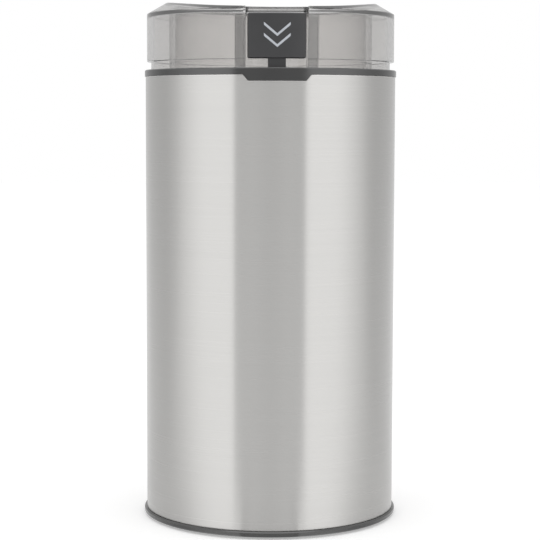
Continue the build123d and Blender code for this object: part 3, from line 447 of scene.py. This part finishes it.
def grain_values(tone, rough, grains, drift):
    """Values for the moulded grain: its tone, range of roughness, grains per metre and drift of tone."""
    gloss = {"Gloss Low": rough[0], "Gloss High": rough[1]}
    return {"Tone": (*tone, 1), "Drift": drift, "Grain Size": grains, **gloss}


def moulded_plastic(name, tone, rough, grains=3000.0, bump=0.01 * mm, drift=0.25, metallic=0.0, gloss=0.5):
    """A moulded, cast or plated skin; rough is the range of its roughness, grains their count per metre."""
    settings = {"Metallic": metallic, "Specular IOR Level": gloss}
    return surface_finish(name, moulded_grain, grain_values(tone, rough, grains, drift), bump, settings)


def mesh_values(items, field, width=3, kind=float):
    """One field of all of a mesh's items as an array with a row for each."""
    values = np.empty(width * len(items), dtype=kind)
    items.foreach_get(field, values)
    return values.reshape(-1, width) if width > 1 else values


def turn_normals(mesh):
    """Where a face looks nearly straight out from the axis or in to it, the level part of its corners'
    normals is set to do so exactly, as on a turned part, so that the wall's facets don't show in gloss.
    Normals that stray from their flat face are first put back to it."""
    most_stray, most_aside, least_level = np.cos(radians(20)), np.cos(radians(7)), 0.1
    normals = mesh_values(mesh.corner_normals, "vector")
    points = mesh_values(mesh.vertices, "co")
    used = mesh_values(mesh.loops, "vertex_index", 1, int)
    sizes = mesh_values(mesh.polygons, "loop_total", 1, int)
    flat = np.repeat(mesh_values(mesh.polygons, "normal"), sizes, axis=0)
    outward = points[used, :2]
    outward /= np.maximum(np.hypot(*outward.T), 0.01 * mm)[:, None]
    astray = np.sum(normals * flat, axis=1) < most_stray
    normals[astray] = flat[astray]
    level = np.hypot(*flat[:, :2].T)
    along = np.sum(flat[:, :2] * outward, axis=1)
    turned = (level > least_level) & (np.abs(along) > level * most_aside)
    reach = np.hypot(*normals[:, :2].T)
    normals[turned, :2] = outward[turned] * (np.sign(along) * reach)[turned, None]
    mesh.normals_split_custom_set(normals.tolist())


merge_reach = 0.002 * mm
flat_angle = 0.3
sharp_angle = 32


def smooth_copy(name, node):
    """The node's own shape with its doubles merged, flat faces joined and curved faces shaded smooth."""
    mesh = bpy.data.meshes.new(name)
    shape = bmesh.new()
    shape.from_mesh(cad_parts[node].data)
    bmesh.ops.remove_doubles(shape, verts=shape.verts, dist=merge_reach)
    bmesh.ops.dissolve_limit(shape, angle_limit=radians(flat_angle), verts=shape.verts, edges=shape.edges)
    shape.to_mesh(mesh)
    shape.free()
    smooth_faces(mesh)
    mesh.set_sharp_from_angle(angle=radians(sharp_angle))
    turn_normals(mesh)
    piece = bpy.data.objects.new(name, mesh)
    bpy.context.scene.collection.objects.link(piece)
    return piece


def fit(piece, finish, body, slot, *nodes):
    """Gives the piece its finish, hangs it on its body and lets it stand for the nodes."""
    piece.data.materials.clear()
    piece.data.materials.append(finish)
    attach(piece, body)
    if nodes:
        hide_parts(*nodes)


satin_grey = moulded_plastic("satin_dark_grey", (0.004, 0.004, 0.0041), rough=(0.15, 0.21), gloss=1.0)
fit(smooth_copy("base_disc", "base_cover"), satin_grey, "housing", "dark_plastic", "base_cover")


# ---------------------------------------------------------------- top collar
# The dark moulded ring that closes the steel at the top and is screwed to the housing, with the tab at
# the front that covers the switch rod.
fit(smooth_copy("collar_ring", "top_collar"), satin_grey, "housing", "dark_plastic", "top_collar")


# ---------------------------------------------------------------- rubber feet, gland and seals
# Black moulded rubber: four feet, the cord's grommet, the bowl's gasket, the shaft's lip seal and the
# two rings under the motor's bracket.
black_rubber = moulded_plastic(
    "black_rubber", (0.022, 0.022, 0.023), rough=(0.6, 0.8), grains=1800.0, bump=0.02 * mm)
for node in ("rubber_feet", "cord_gland", "bowl_gasket", "shaft_seal"):
    fit(smooth_copy(node + "_moulding", node), black_rubber, "housing", "rubber", node)


# ---------------------------------------------------------------- grinding bowl
# A deep-drawn steel cup with a rolled flange, polished in a lathe, so its fine marks run round it. A
# moulded ring nut clamps it from below.
bowl_polish = brushed_metal(
    "bowl_polish", (0.6, 0.595, 0.585), squeeze=(40, 40, 4000), contrast=0.08, rough=(0.14, 0.24),
    bump=0.0006 * mm)
fit(smooth_copy("bowl_cup", "grinding_bowl"), bowl_polish, "housing", "bowl_steel", "grinding_bowl")
fit(smooth_copy("ring_nut_moulding", "bowl_ring_nut"), satin_grey, "housing", "dark_plastic", "bowl_ring_nut")


# ---------------------------------------------------------------- blade
# Two stamped wings, one bent up and one down, ground along their edges. They stand on a turned spacer
# and are held on the shaft by a moulded nut.
blade_polish = brushed_metal(
    "blade_polish", (0.62, 0.615, 0.605), squeeze=(300, 5000, 300), contrast=0.12, rough=(0.16, 0.3),
    bump=0.001 * mm)
fit(smooth_copy("blade_stamping", "blade"), blade_polish, "rotor", "blade_steel", "blade")
fit(smooth_copy("blade_spacer", "blade_collar"), bowl_polish, "rotor", "bowl_steel", "blade_collar")
fit(smooth_copy("blade_nut_moulding", "blade_nut"), satin_grey, "rotor", "dark_plastic", "blade_nut")


# ---------------------------------------------------------------- lid
# One moulding of clear, lightly smoked plastic: a wall with a chamfered rim, a shallow ramp on top, an
# inner skirt that reaches into the bowl and a pocket at the front for the button.
lid_low, lid_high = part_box("lid")
lid_radius = lid_high.x
lid_top = lid_high.z
skirt_bottom = lid_low.z
lip_bottom = 152.6 * mm
lip_top = 156.9 * mm
lip_radius = 41.1 * mm
cavity_radius = 40.1 * mm
skirt_outer = 34.9 * mm
skirt_inner = 32.9 * mm
ceiling_drop = 2.2 * mm
pocket_half = 10.1 * mm
pocket_wall_half = 12.9 * mm
pocket_wall_bottom = 154.3 * mm
chamfer_height = 4.0 * mm
chamfer_width = 6.9 * mm
chamfer_start = lid_radius - chamfer_width
chamfer_slope = chamfer_height / chamfer_width
ramp_start = 30.0 * mm
ramp_end = 36.0 * mm
ramp_bend = 1.0 * mm
ramp_roll = 400.0 * mm
ramp_depth = 3.75 * mm
ramp_fall = ramp_depth / (ramp_start + lid_radius)
soft_edge = 0.03 * mm
lid_round = 0.25 * mm
edge_cell = 0.4 * mm
spread_count = 241
pocket_columns = 22
disc_rows = 40
ring_rows = 6
chamfer_rows = 8
skirt_rows = 4
ceiling_disc_rows = 20
ceiling_ring_rows = 12
wall_lines = np.array([pocket_half, pocket_half + edge_cell, pocket_wall_half - edge_cell, pocket_wall_half])
spread_lines = np.linspace(0, 1, spread_count)[1:-1]
line_count = 2 * len(wall_lines) + len(spread_lines)
wall_rows = np.array([0, 0.03, 0.2, 0.4, 0.6, 0.8, 0.97, 1])
pocket_rows = np.array([0, 0.03, 0.2, 0.4, 0.6, 0.8, 0.945, 0.965, 1])


def lower_of(first, second, soft):
    """The lower of two heights, rounded where they meet: their mean, less the root of half their difference
    squared plus the round squared."""
    return (first + second) / 2 - np.hypot((first - second) / 2, soft)


def lid_level(x, y):
    """The lower of the flat top and a shallow trough, which falls towards the front as far as the pocket's
    back, runs on level from there, and rises with the square of x."""
    run = lower_of(ramp_start - y, ramp_start + ramp_end, ramp_bend)
    return lower_of(lid_top, lid_top - ramp_fall * run + x ** 2 / (2 * ramp_roll), soft_edge)


def lid_height(x, y, drop=0.0):
    """The lower of the level part and the chamfer's cone, both moved in by the drop."""
    cone = lid_top - chamfer_slope * (np.hypot(x, y) - chamfer_start) - drop * np.hypot(1, chamfer_slope)
    return lower_of(lid_level(x, y) - drop, cone, soft_edge)


def round_angles(radius):
    """Angle from the front of each line at each radius. The first and last lines keep an even x within the
    pocket's walls; the others are spread evenly between them, round the back."""
    count = len(wall_lines)
    right = np.arcsin(wall_lines[:, None] / radius[:count])
    left = 2 * pi - np.arcsin(wall_lines[::-1, None] / radius[-count:])
    start = np.arcsin(pocket_wall_half / radius[count:-count])
    return np.concatenate([right, start + spread_lines[:, None] * (2 * pi - 2 * start), left])


def chamfer_edge():
    """Radius at which the cone meets the level part along each line: the cone's start, plus how far the
    level part lies under the top over the cone's slope, taken a few times, as that depends on the radius."""
    radius = np.full((line_count, 1), chamfer_start)
    for _ in range(8):
        angle = round_angles(radius)
        fall = lid_top - lid_level(radius * np.sin(angle), -radius * np.cos(angle))
        radius = chamfer_start + fall / chamfer_slope
    return radius


def sheet(angle, radius, height):
    """A grid of points at these angles from the front, radii and heights."""
    return np.stack(np.broadcast_arrays(radius * np.sin(angle), -radius * np.cos(angle), height), axis=2)


def top(angle, radius, drop=0.0):
    """A sheet on the lid's top or ceiling."""
    return sheet(angle, radius, lid_height(radius * np.sin(angle), -radius * np.cos(angle), drop))


def rise(angle, radius, low, drop, rows):
    """An upright sheet from a level to the top or the ceiling."""
    high = lid_height(radius * np.sin(angle), -radius * np.cos(angle), drop)
    return sheet(angle, radius, low + (high - low) * rows[None, :])


def band(radii, heights):
    """A sheet through these radii and heights along all lines outside the pocket."""
    radius = np.broadcast_to(np.array(radii), (line_count, len(radii)))
    return sheet(round_angles(radius), radius, np.array(heights))


def between(low, high, count):
    """Even values from one border to the other, with a narrow cell next to each border."""
    return np.concatenate([[low], np.linspace(low + edge_cell, high - edge_cell, count), [high]])


def lid_sheets():
    """The lid's skin as sheets of lines round the axis times rows across or up, which share their borders:
    top, wall, lip, hollow, skirt, and the pocket's back. Only its flat side walls are left open."""
    inner = round_angles(np.full((line_count, 1), skirt_outer))
    pocket = 2 * pi + np.arcsin(between(-pocket_half, pocket_half, pocket_columns)[:, None] / skirt_outer)
    whole = np.concatenate([inner[:-1], pocket])
    edge = np.minimum(chamfer_edge(), lid_radius - 2 * edge_cell)
    ring = np.concatenate([
        skirt_outer + (edge - edge_cell / 2 - skirt_outer) * np.linspace(0, 1, ring_rows),
        edge,
        edge + edge_cell / 2 + (lid_radius - 1.5 * edge_cell - edge) * np.linspace(0, 1, chamfer_rows),
        np.full((line_count, 1), lid_radius),
    ], axis=1)
    outer = np.full((line_count, 1), lid_radius)
    hollow = np.full((line_count, 1), cavity_radius)
    open_lines = slice(len(wall_lines) - 1, 1 - len(wall_lines))
    ceiling_radii = between(skirt_outer, cavity_radius, ceiling_ring_rows)
    ceiling_ring = np.broadcast_to(ceiling_radii, (line_count, len(ceiling_radii)))
    ceiling_angles = round_angles(ceiling_ring)
    disc = np.append(np.linspace(0, skirt_outer - edge_cell, disc_rows), skirt_outer)
    ceiling_disc = np.append(np.linspace(0, skirt_inner - edge_cell, ceiling_disc_rows), skirt_inner)
    wall_bottom = band(between(skirt_outer, cavity_radius, 2), [pocket_wall_bottom] * 4)
    return [
        top(whole, disc),
        top(round_angles(ring), ring),
        rise(round_angles(outer), outer, lip_top, 0.0, wall_rows),
        band([lid_radius, lip_radius, lip_radius], [lip_top, lip_top, lip_bottom]),
        rise(pocket, skirt_outer, pocket_wall_bottom, 0.0, pocket_rows),
        band([lip_radius, cavity_radius, cavity_radius], [lip_bottom, lip_bottom, pocket_wall_bottom]),
        wall_bottom[:len(wall_lines)],
        wall_bottom[-len(wall_lines):],
        rise(round_angles(hollow)[open_lines], cavity_radius, pocket_wall_bottom, ceiling_drop, wall_rows),
        top(ceiling_angles[open_lines], ceiling_ring[open_lines], ceiling_drop),
        rise(inner[open_lines], skirt_outer, pocket_wall_bottom, ceiling_drop, wall_rows),
        sheet(whole, skirt_outer, np.linspace(skirt_bottom, pocket_wall_bottom, skirt_rows)),
        sheet(whole, np.array([skirt_outer, skirt_inner]), skirt_bottom),
        rise(whole, skirt_inner, skirt_bottom, ceiling_drop, wall_rows),
        top(whole, ceiling_disc, ceiling_drop),
    ]


def join_sheets(name, sheets):
    """One closed smooth mesh from sheets that share their borders: doubles merged, flat holes filled."""
    vertices, faces, first = [], [], 0
    for points in sheets:
        lines, rows = points.shape[:2]
        number = first + np.arange(lines * rows).reshape(lines, rows)
        vertices.append(points.reshape(-1, 3))
        faces.append(grid_faces(number).reshape(-1, 4))
        first += lines * rows
    piece = shape_object(name, np.concatenate(vertices), np.concatenate(faces))
    shape = bmesh.new()
    shape.from_mesh(piece.data)
    bmesh.ops.remove_doubles(shape, verts=shape.verts, dist=2 * merge_reach)
    open_edges = [edge for edge in shape.edges if edge.is_boundary]
    bmesh.ops.holes_fill(shape, edges=open_edges, sides=0)
    bmesh.ops.recalc_face_normals(shape, faces=shape.faces)
    shape.to_mesh(piece.data)
    shape.free()
    smooth_faces(piece.data)
    return piece


# How much more smoke than the wall some places show, and how far those places reach: the fronts of the
# pocket's side walls, because they are seen edge on, but not their highest part, which with the top of the
# pocket's back is left clear as a painted highlight; a painted dark line along the top of the pocket's back
# and painted dark reflections on its sides; and a painted dark reflection on the ledge beside the pocket.
wall_smoke = 2.8
wall_cap = 5.5 * mm
cap_painted_highlight = 0.0
rim_band = 0.7 * mm
rim_painted_dark_line = 2.5
corner_painted_reflection = 6.0
ledge_band = 1.0 * mm
ledge_start = 11.5 * mm
ledge_full = 20.0 * mm
ledge_end = 28.0 * mm
ledge_painted_reflection = 6.0


def smoke_and_painted_light_values(mesh):
    """How much of the smoke and painted light each point shows: one on the wall, the lip, the top and the
    pocket's back, the values above on the places they name, with their painted highlight and painted dark
    marks, fading along the ledge, and nought inside."""
    x, y, z = mesh_values(mesh.vertices, "co").T
    radius = np.hypot(x, y)
    slack = edge_cell / 4
    across = np.abs(x)
    outside = (radius > lip_radius - slack) | (z > lid_height(x, y) - slack)
    back = (across < pocket_half + slack) & (y < 0) & (z > pocket_wall_bottom - slack)
    back &= np.abs(radius - skirt_outer) < slack
    outside |= back
    front = (across < pocket_wall_half + slack) & (y < -skirt_outer - slack)
    high = z > lid_top - wall_cap
    rim = back & high & (z > lid_height(x, y) - rim_band - slack)
    corner = back & high & (across > pocket_half - edge_cell - slack)
    fallen = lid_level(x, y) - z
    ledge = (fallen > soft_edge) & (fallen < ledge_band) & (y < 0)
    ledge &= (across > ledge_start) & (across < ledge_end)
    # The highest part of the walls and the pocket's back is left clear, a painted highlight; the rim gets a
    # painted dark line, and the corners and the ledge get painted dark reflections.
    value = np.where((front | back) & high, cap_painted_highlight, np.where(front, wall_smoke, 1.0))
    fade = np.interp(across, [ledge_full, ledge_end], [ledge_painted_reflection, 1.0])
    for place, amount in ((rim, rim_painted_dark_line), (corner, corner_painted_reflection), (ledge, fade)):
        value = np.where(place, amount, value)
    return outside * value


lid_piece = join_sheets("lid_moulding", lid_sheets())
lid_smoke_and_painted_light = lid_piece.data.attributes.new("smoke_and_painted_light", "FLOAT", "POINT")
lid_smoke_and_painted_light.data.foreach_set("value", smoke_and_painted_light_values(lid_piece.data))
edge = round_edges(lid_piece, lid_round, angle=45)
edge.use_clamp_overlap = False
edge.harden_normals = True

# The plastic dims what is seen through it by the power of a depth: as much as the smoke, with its painted
# highlight and painted dark marks, on its outside, and on the skirt inside more where it is seen at a glance.
# Light that is mirrored many times between its walls would go black, so a little glow stands for it.
clear_index = 1.49
clear_tone = (1, 0.99, 0.98)
outside_depth = 0.76
skirt_depth = 0.25
glance_end = 1.04
deep_bounce = 2.5
deep_glow = 0.05

lid_plastic = bpy.data.materials.new("smoky_clear_plastic")
lid_plastic.use_nodes = True
tree = lid_plastic.node_tree
clear_grain = grain_values(clear_tone, rough=(0.01, 0.03), grains=300.0, drift=0.03)
skin = add_node(tree, "Group", clear_grain, node_tree=moulded_grain)
smoke_and_painted_light = add_node(tree, "Attribute", attribute_name="smoke_and_painted_light").outputs["Fac"]
place = add_node(tree, "TexCoord").outputs["Object"]
level = add_node(tree, "VectorMath", {0: place, 1: (1, 1, 0)}, operation="MULTIPLY").outputs[0]
reach = add_node(tree, "VectorMath", {0: level}, operation="LENGTH").outputs["Value"]
facing = add_node(tree, "LayerWeight", {"Blend": 0.5}).outputs["Facing"]
glance = math_node(tree, "DIVIDE", facing, math_node(tree, "SUBTRACT", glance_end, facing))
on_skirt = math_node(tree, "LESS_THAN", reach, (skirt_outer + cavity_radius) / 2)
inside = math_node(tree, "MAXIMUM", math_node(tree, "SUBTRACT", 1.0, smoke_and_painted_light), 0.0)
inner_skirt = math_node(tree, "MULTIPLY", on_skirt, inside)
skirt_tint = math_node(tree, "MULTIPLY", math_node(tree, "MULTIPLY", glance, skirt_depth), inner_skirt)
depth = math_node(tree, "ADD", math_node(tree, "MULTIPLY", smoke_and_painted_light, outside_depth), skirt_tint)
clear = math_node(tree, "EXPONENT", math_node(tree, "MULTIPLY", depth, -1.0))
tint = add_node(tree, "VectorMath", {0: skin.outputs["Colour"], "Scale": clear}, operation="SCALE")
rays = add_node(tree, "LightPath").outputs
deep = math_node(tree, "GREATER_THAN", rays["Glossy Depth"], deep_bounce)
plug(tree, tree.nodes["Principled BSDF"], {
    "Transmission Weight": 1.0, "IOR": clear_index, "Roughness": skin.outputs["Roughness"],
    "Base Color": tint.outputs[0], "Emission Color": white,
    "Emission Strength": math_node(tree, "MULTIPLY", deep, deep_glow),
})
fit(lid_piece, lid_plastic, "lid", "smoky_clear", "lid")


# ---------------------------------------------------------------- push button
# A black satin key, moulded in one with a stem that goes down into the collar. A double chevron is
# printed on its face.
button_satin = moulded_plastic(
    "button_satin_black", (0.04, 0.04, 0.042), rough=(0.34, 0.42), grains=3500.0)
fit(smooth_copy("button_key", "push_button"), button_satin, "button", "button_plastic", "push_button")

button_low, button_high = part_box("push_button")
button_radius = -button_low.y
sign_half = 4.3 * mm
sign_drop = 3.6 * mm
sign_stroke = 0.72 * mm
sign_pitch = 3.5 * mm
sign_film = 0.04 * mm
sign_depth = 7.05 * mm
sign_columns = 41
stroke_rows = 5
sign_middle = button_high.z - sign_depth


def chevron(middle):
    """A band of even width along a line that falls to the middle and rises again. Each edge of the band is
    the line moved up or down by the stroke over the cosine of its slope, and the whole lies on the key's
    round front."""
    across = np.linspace(-sign_half, sign_half, sign_columns)
    line = middle + sign_drop * (np.abs(across) / sign_half - 0.5)
    half_width = sign_stroke / 2 * np.hypot(1, sign_drop / sign_half)
    sides = np.linspace(-half_width, half_width, stroke_rows)
    x = across[:, None] + 0 * sides[None, :]
    z = line[:, None] + sides[None, :]
    y = -np.sqrt(button_radius ** 2 - x ** 2) - sign_film / 2
    faces = grid_faces(np.arange(x.size).reshape(x.shape))
    return np.stack([x, y, z], axis=2).reshape(-1, 3), faces.reshape(-1, 4)


sign_paint = moulded_plastic(
    "sign_paint", (0.6, 0.63, 0.68), rough=(0.45, 0.6), grains=2500.0, bump=0.004 * mm, drift=0.1)
for i, offset in enumerate((sign_pitch / 2, -sign_pitch / 2)):
    mark = shape_object(f"button_chevron_{i + 1}", *chevron(sign_middle + offset))
    thicken(mark, sign_film)
    fit(mark, sign_paint, "button", "rod_plastic")


# ---------------------------------------------------------------- return spring
# A coil of hard steel wire that stands on the switch bracket and carries the push rod. It is pressed
# together as the button goes down.
spring_low, spring_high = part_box("return_spring")
coil_turns = 7
turn_steps = 36
wire_radius = 0.25 * mm
wire_sides = 12
end_angle = 50
spring_wire = brushed_metal(
    "spring_wire", (0.55, 0.55, 0.54), squeeze=(900, 900, 900), contrast=0.15, rough=(0.2, 0.32),
    bump=0.003 * mm)


def coil_sheet():
    """A round wire along a helix, which turns evenly as it rises. Each ring of the wire is spanned by the
    direction away from the coil's axis and the one square to that and to the helix. The first and the last
    ring shrink to a point and close the wire's ends."""
    share = np.linspace(0, 1, turn_steps * coil_turns + 1)
    share = np.concatenate([share[:1], share, share[-1:]])[:, None]
    thick = np.full_like(share, wire_radius)
    thick[[0, -1]] = 0
    turn = 2 * pi * coil_turns * share
    round_wire = np.linspace(0, 2 * pi, wire_sides + 1)
    mean = (spring_high.x - spring_low.x) / 2 - wire_radius
    rise = spring_high.z - spring_low.z - 2 * wire_radius
    slope = np.arctan(rise / (2 * pi * coil_turns * mean))
    away = mean + thick * np.cos(round_wire)
    along = thick * np.sin(round_wire) * np.sin(slope)
    x = away * np.cos(turn) + along * np.sin(turn)
    y = away * np.sin(turn) - along * np.cos(turn) + (spring_low.y + spring_high.y) / 2
    z = spring_low.z + wire_radius + rise * share + thick * np.sin(round_wire) * np.cos(slope)
    return np.stack([x, y, z], axis=2)


return_coil = join_sheets("return_coil", [coil_sheet()])
return_coil.data.set_sharp_from_angle(angle=radians(end_angle))
fit(return_coil, spring_wire, "button", "spring_steel", "return_spring")
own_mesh(return_coil)


# ---------------------------------------------------------------- what is inside
# Motor, switch and wiring keep their own shapes. Mouldings and wires have the colour of their plastic,
# castings and plated parts a fine grain, and stacked, wound, ground or turned metal its lines.
def dress(finish, *names):
    """Puts the finish on the CAD nodes themselves."""
    for name in names:
        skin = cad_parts[name].data
        skin.materials.clear()
        skin.materials.append(finish)


dress(black_rubber, "motor_grommets")
dress(satin_grey, "cord_clamp")
dress(spring_wire, "brush_springs", "switch_lever")

# Each line: finish, tone, range of roughness, grains per metre, and its nodes.
plastics = (
    ("housing_black", (0.03, 0.03, 0.032), (0.45, 0.6), 2500.0, "motor_housing"),
    ("brown_phenolic", (0.12, 0.05, 0.02), (0.3, 0.45), 2200.0, "brush_holders"),
    ("natural_nylon", (0.62, 0.61, 0.56), (0.4, 0.5), 2600.0, "cooling_fan"),
    ("natural_acetal", (0.7, 0.7, 0.67), (0.35, 0.45), 2600.0, "push_rod"),
    ("switch_nylon", (0.05, 0.05, 0.055), (0.35, 0.5), 2600.0, "switch_body"),
    ("plunger_red", (0.42, 0.03, 0.02), (0.3, 0.4), 2600.0, "switch_plunger"),
    ("white_nylon", (0.72, 0.72, 0.7), (0.35, 0.5), 2600.0, "terminal_block"),
    ("blue_case", (0.03, 0.06, 0.28), (0.2, 0.3), 2600.0, "suppression_capacitor"),
    ("brown_vinyl", (0.1, 0.035, 0.015), (0.35, 0.5), 2600.0, "switch_lead"),
    ("blue_vinyl", (0.015, 0.05, 0.28), (0.35, 0.5), 2600.0, "field_lead", "brush_lead"),
)
for name, tone, rough, grains, *nodes in plastics:
    dress(moulded_plastic(name, tone, rough, grains), *nodes)

# Each line: finish, tone, range of roughness, grains per metre, their depth, drift of tone, metal or not,
# and its nodes.
castings = (
    ("zinc_plate", (0.5, 0.5, 0.48), (0.25, 0.4), 900.0, 0.005 * mm, 0.2, 1.0,
     "base_screws", "collar_screws", "motor_bolts", "switch_bracket", "switch_screws", "switch_nuts",
     "bracket_screws", "clamp_screws"),
    ("cast_alloy", (0.45, 0.45, 0.45), (0.4, 0.6), 1500.0, 0.03 * mm, 0.2, 1.0,
     "upper_bracket", "lower_bracket"),
    ("sintered_bronze", (0.42, 0.27, 0.14), (0.35, 0.55), 4000.0, 0.01 * mm, 0.3, 1.0,
     "upper_bearing", "lower_bearing"),
    ("tinned_brass", (0.55, 0.5, 0.36), (0.2, 0.35), 1200.0, 0.004 * mm, 0.2, 1.0, "switch_terminals"),
    ("pressed_carbon", (0.02, 0.02, 0.021), (0.5, 0.7), 5000.0, 0.01 * mm, 0.4, 0.0, "carbon_brushes"),
)
for name, tone, rough, grains, bump, drift, metallic, *nodes in castings:
    dress(moulded_plastic(name, tone, rough, grains, bump, drift, metallic), *nodes)

# Each line: finish, tone, lines per metre along each axis, contrast, range of roughness, depth of the
# lines, and its nodes.
lined_metals = (
    ("stacked_laminations", (0.26, 0.26, 0.27), (60, 60, 4000), 0.5, (0.35, 0.6), 0.04 * mm,
     "stator_core", "armature_core"),
    ("enamelled_wire", (0.55, 0.2, 0.07), (200, 200, 2600), 0.45, (0.2, 0.35), 0.06 * mm,
     "field_coils", "armature_winding"),
    ("ground_shaft", (0.58, 0.58, 0.57), (60, 60, 5000), 0.1, (0.16, 0.26), 0.002 * mm, "rotor_shaft"),
    ("turned_copper", (0.62, 0.26, 0.12), (60, 60, 3000), 0.2, (0.25, 0.4), 0.01 * mm, "commutator"),
)
for name, tone, squeeze, contrast, rough, bump, *nodes in lined_metals:
    dress(brushed_metal(name, tone, squeeze, contrast, rough, bump), *nodes)
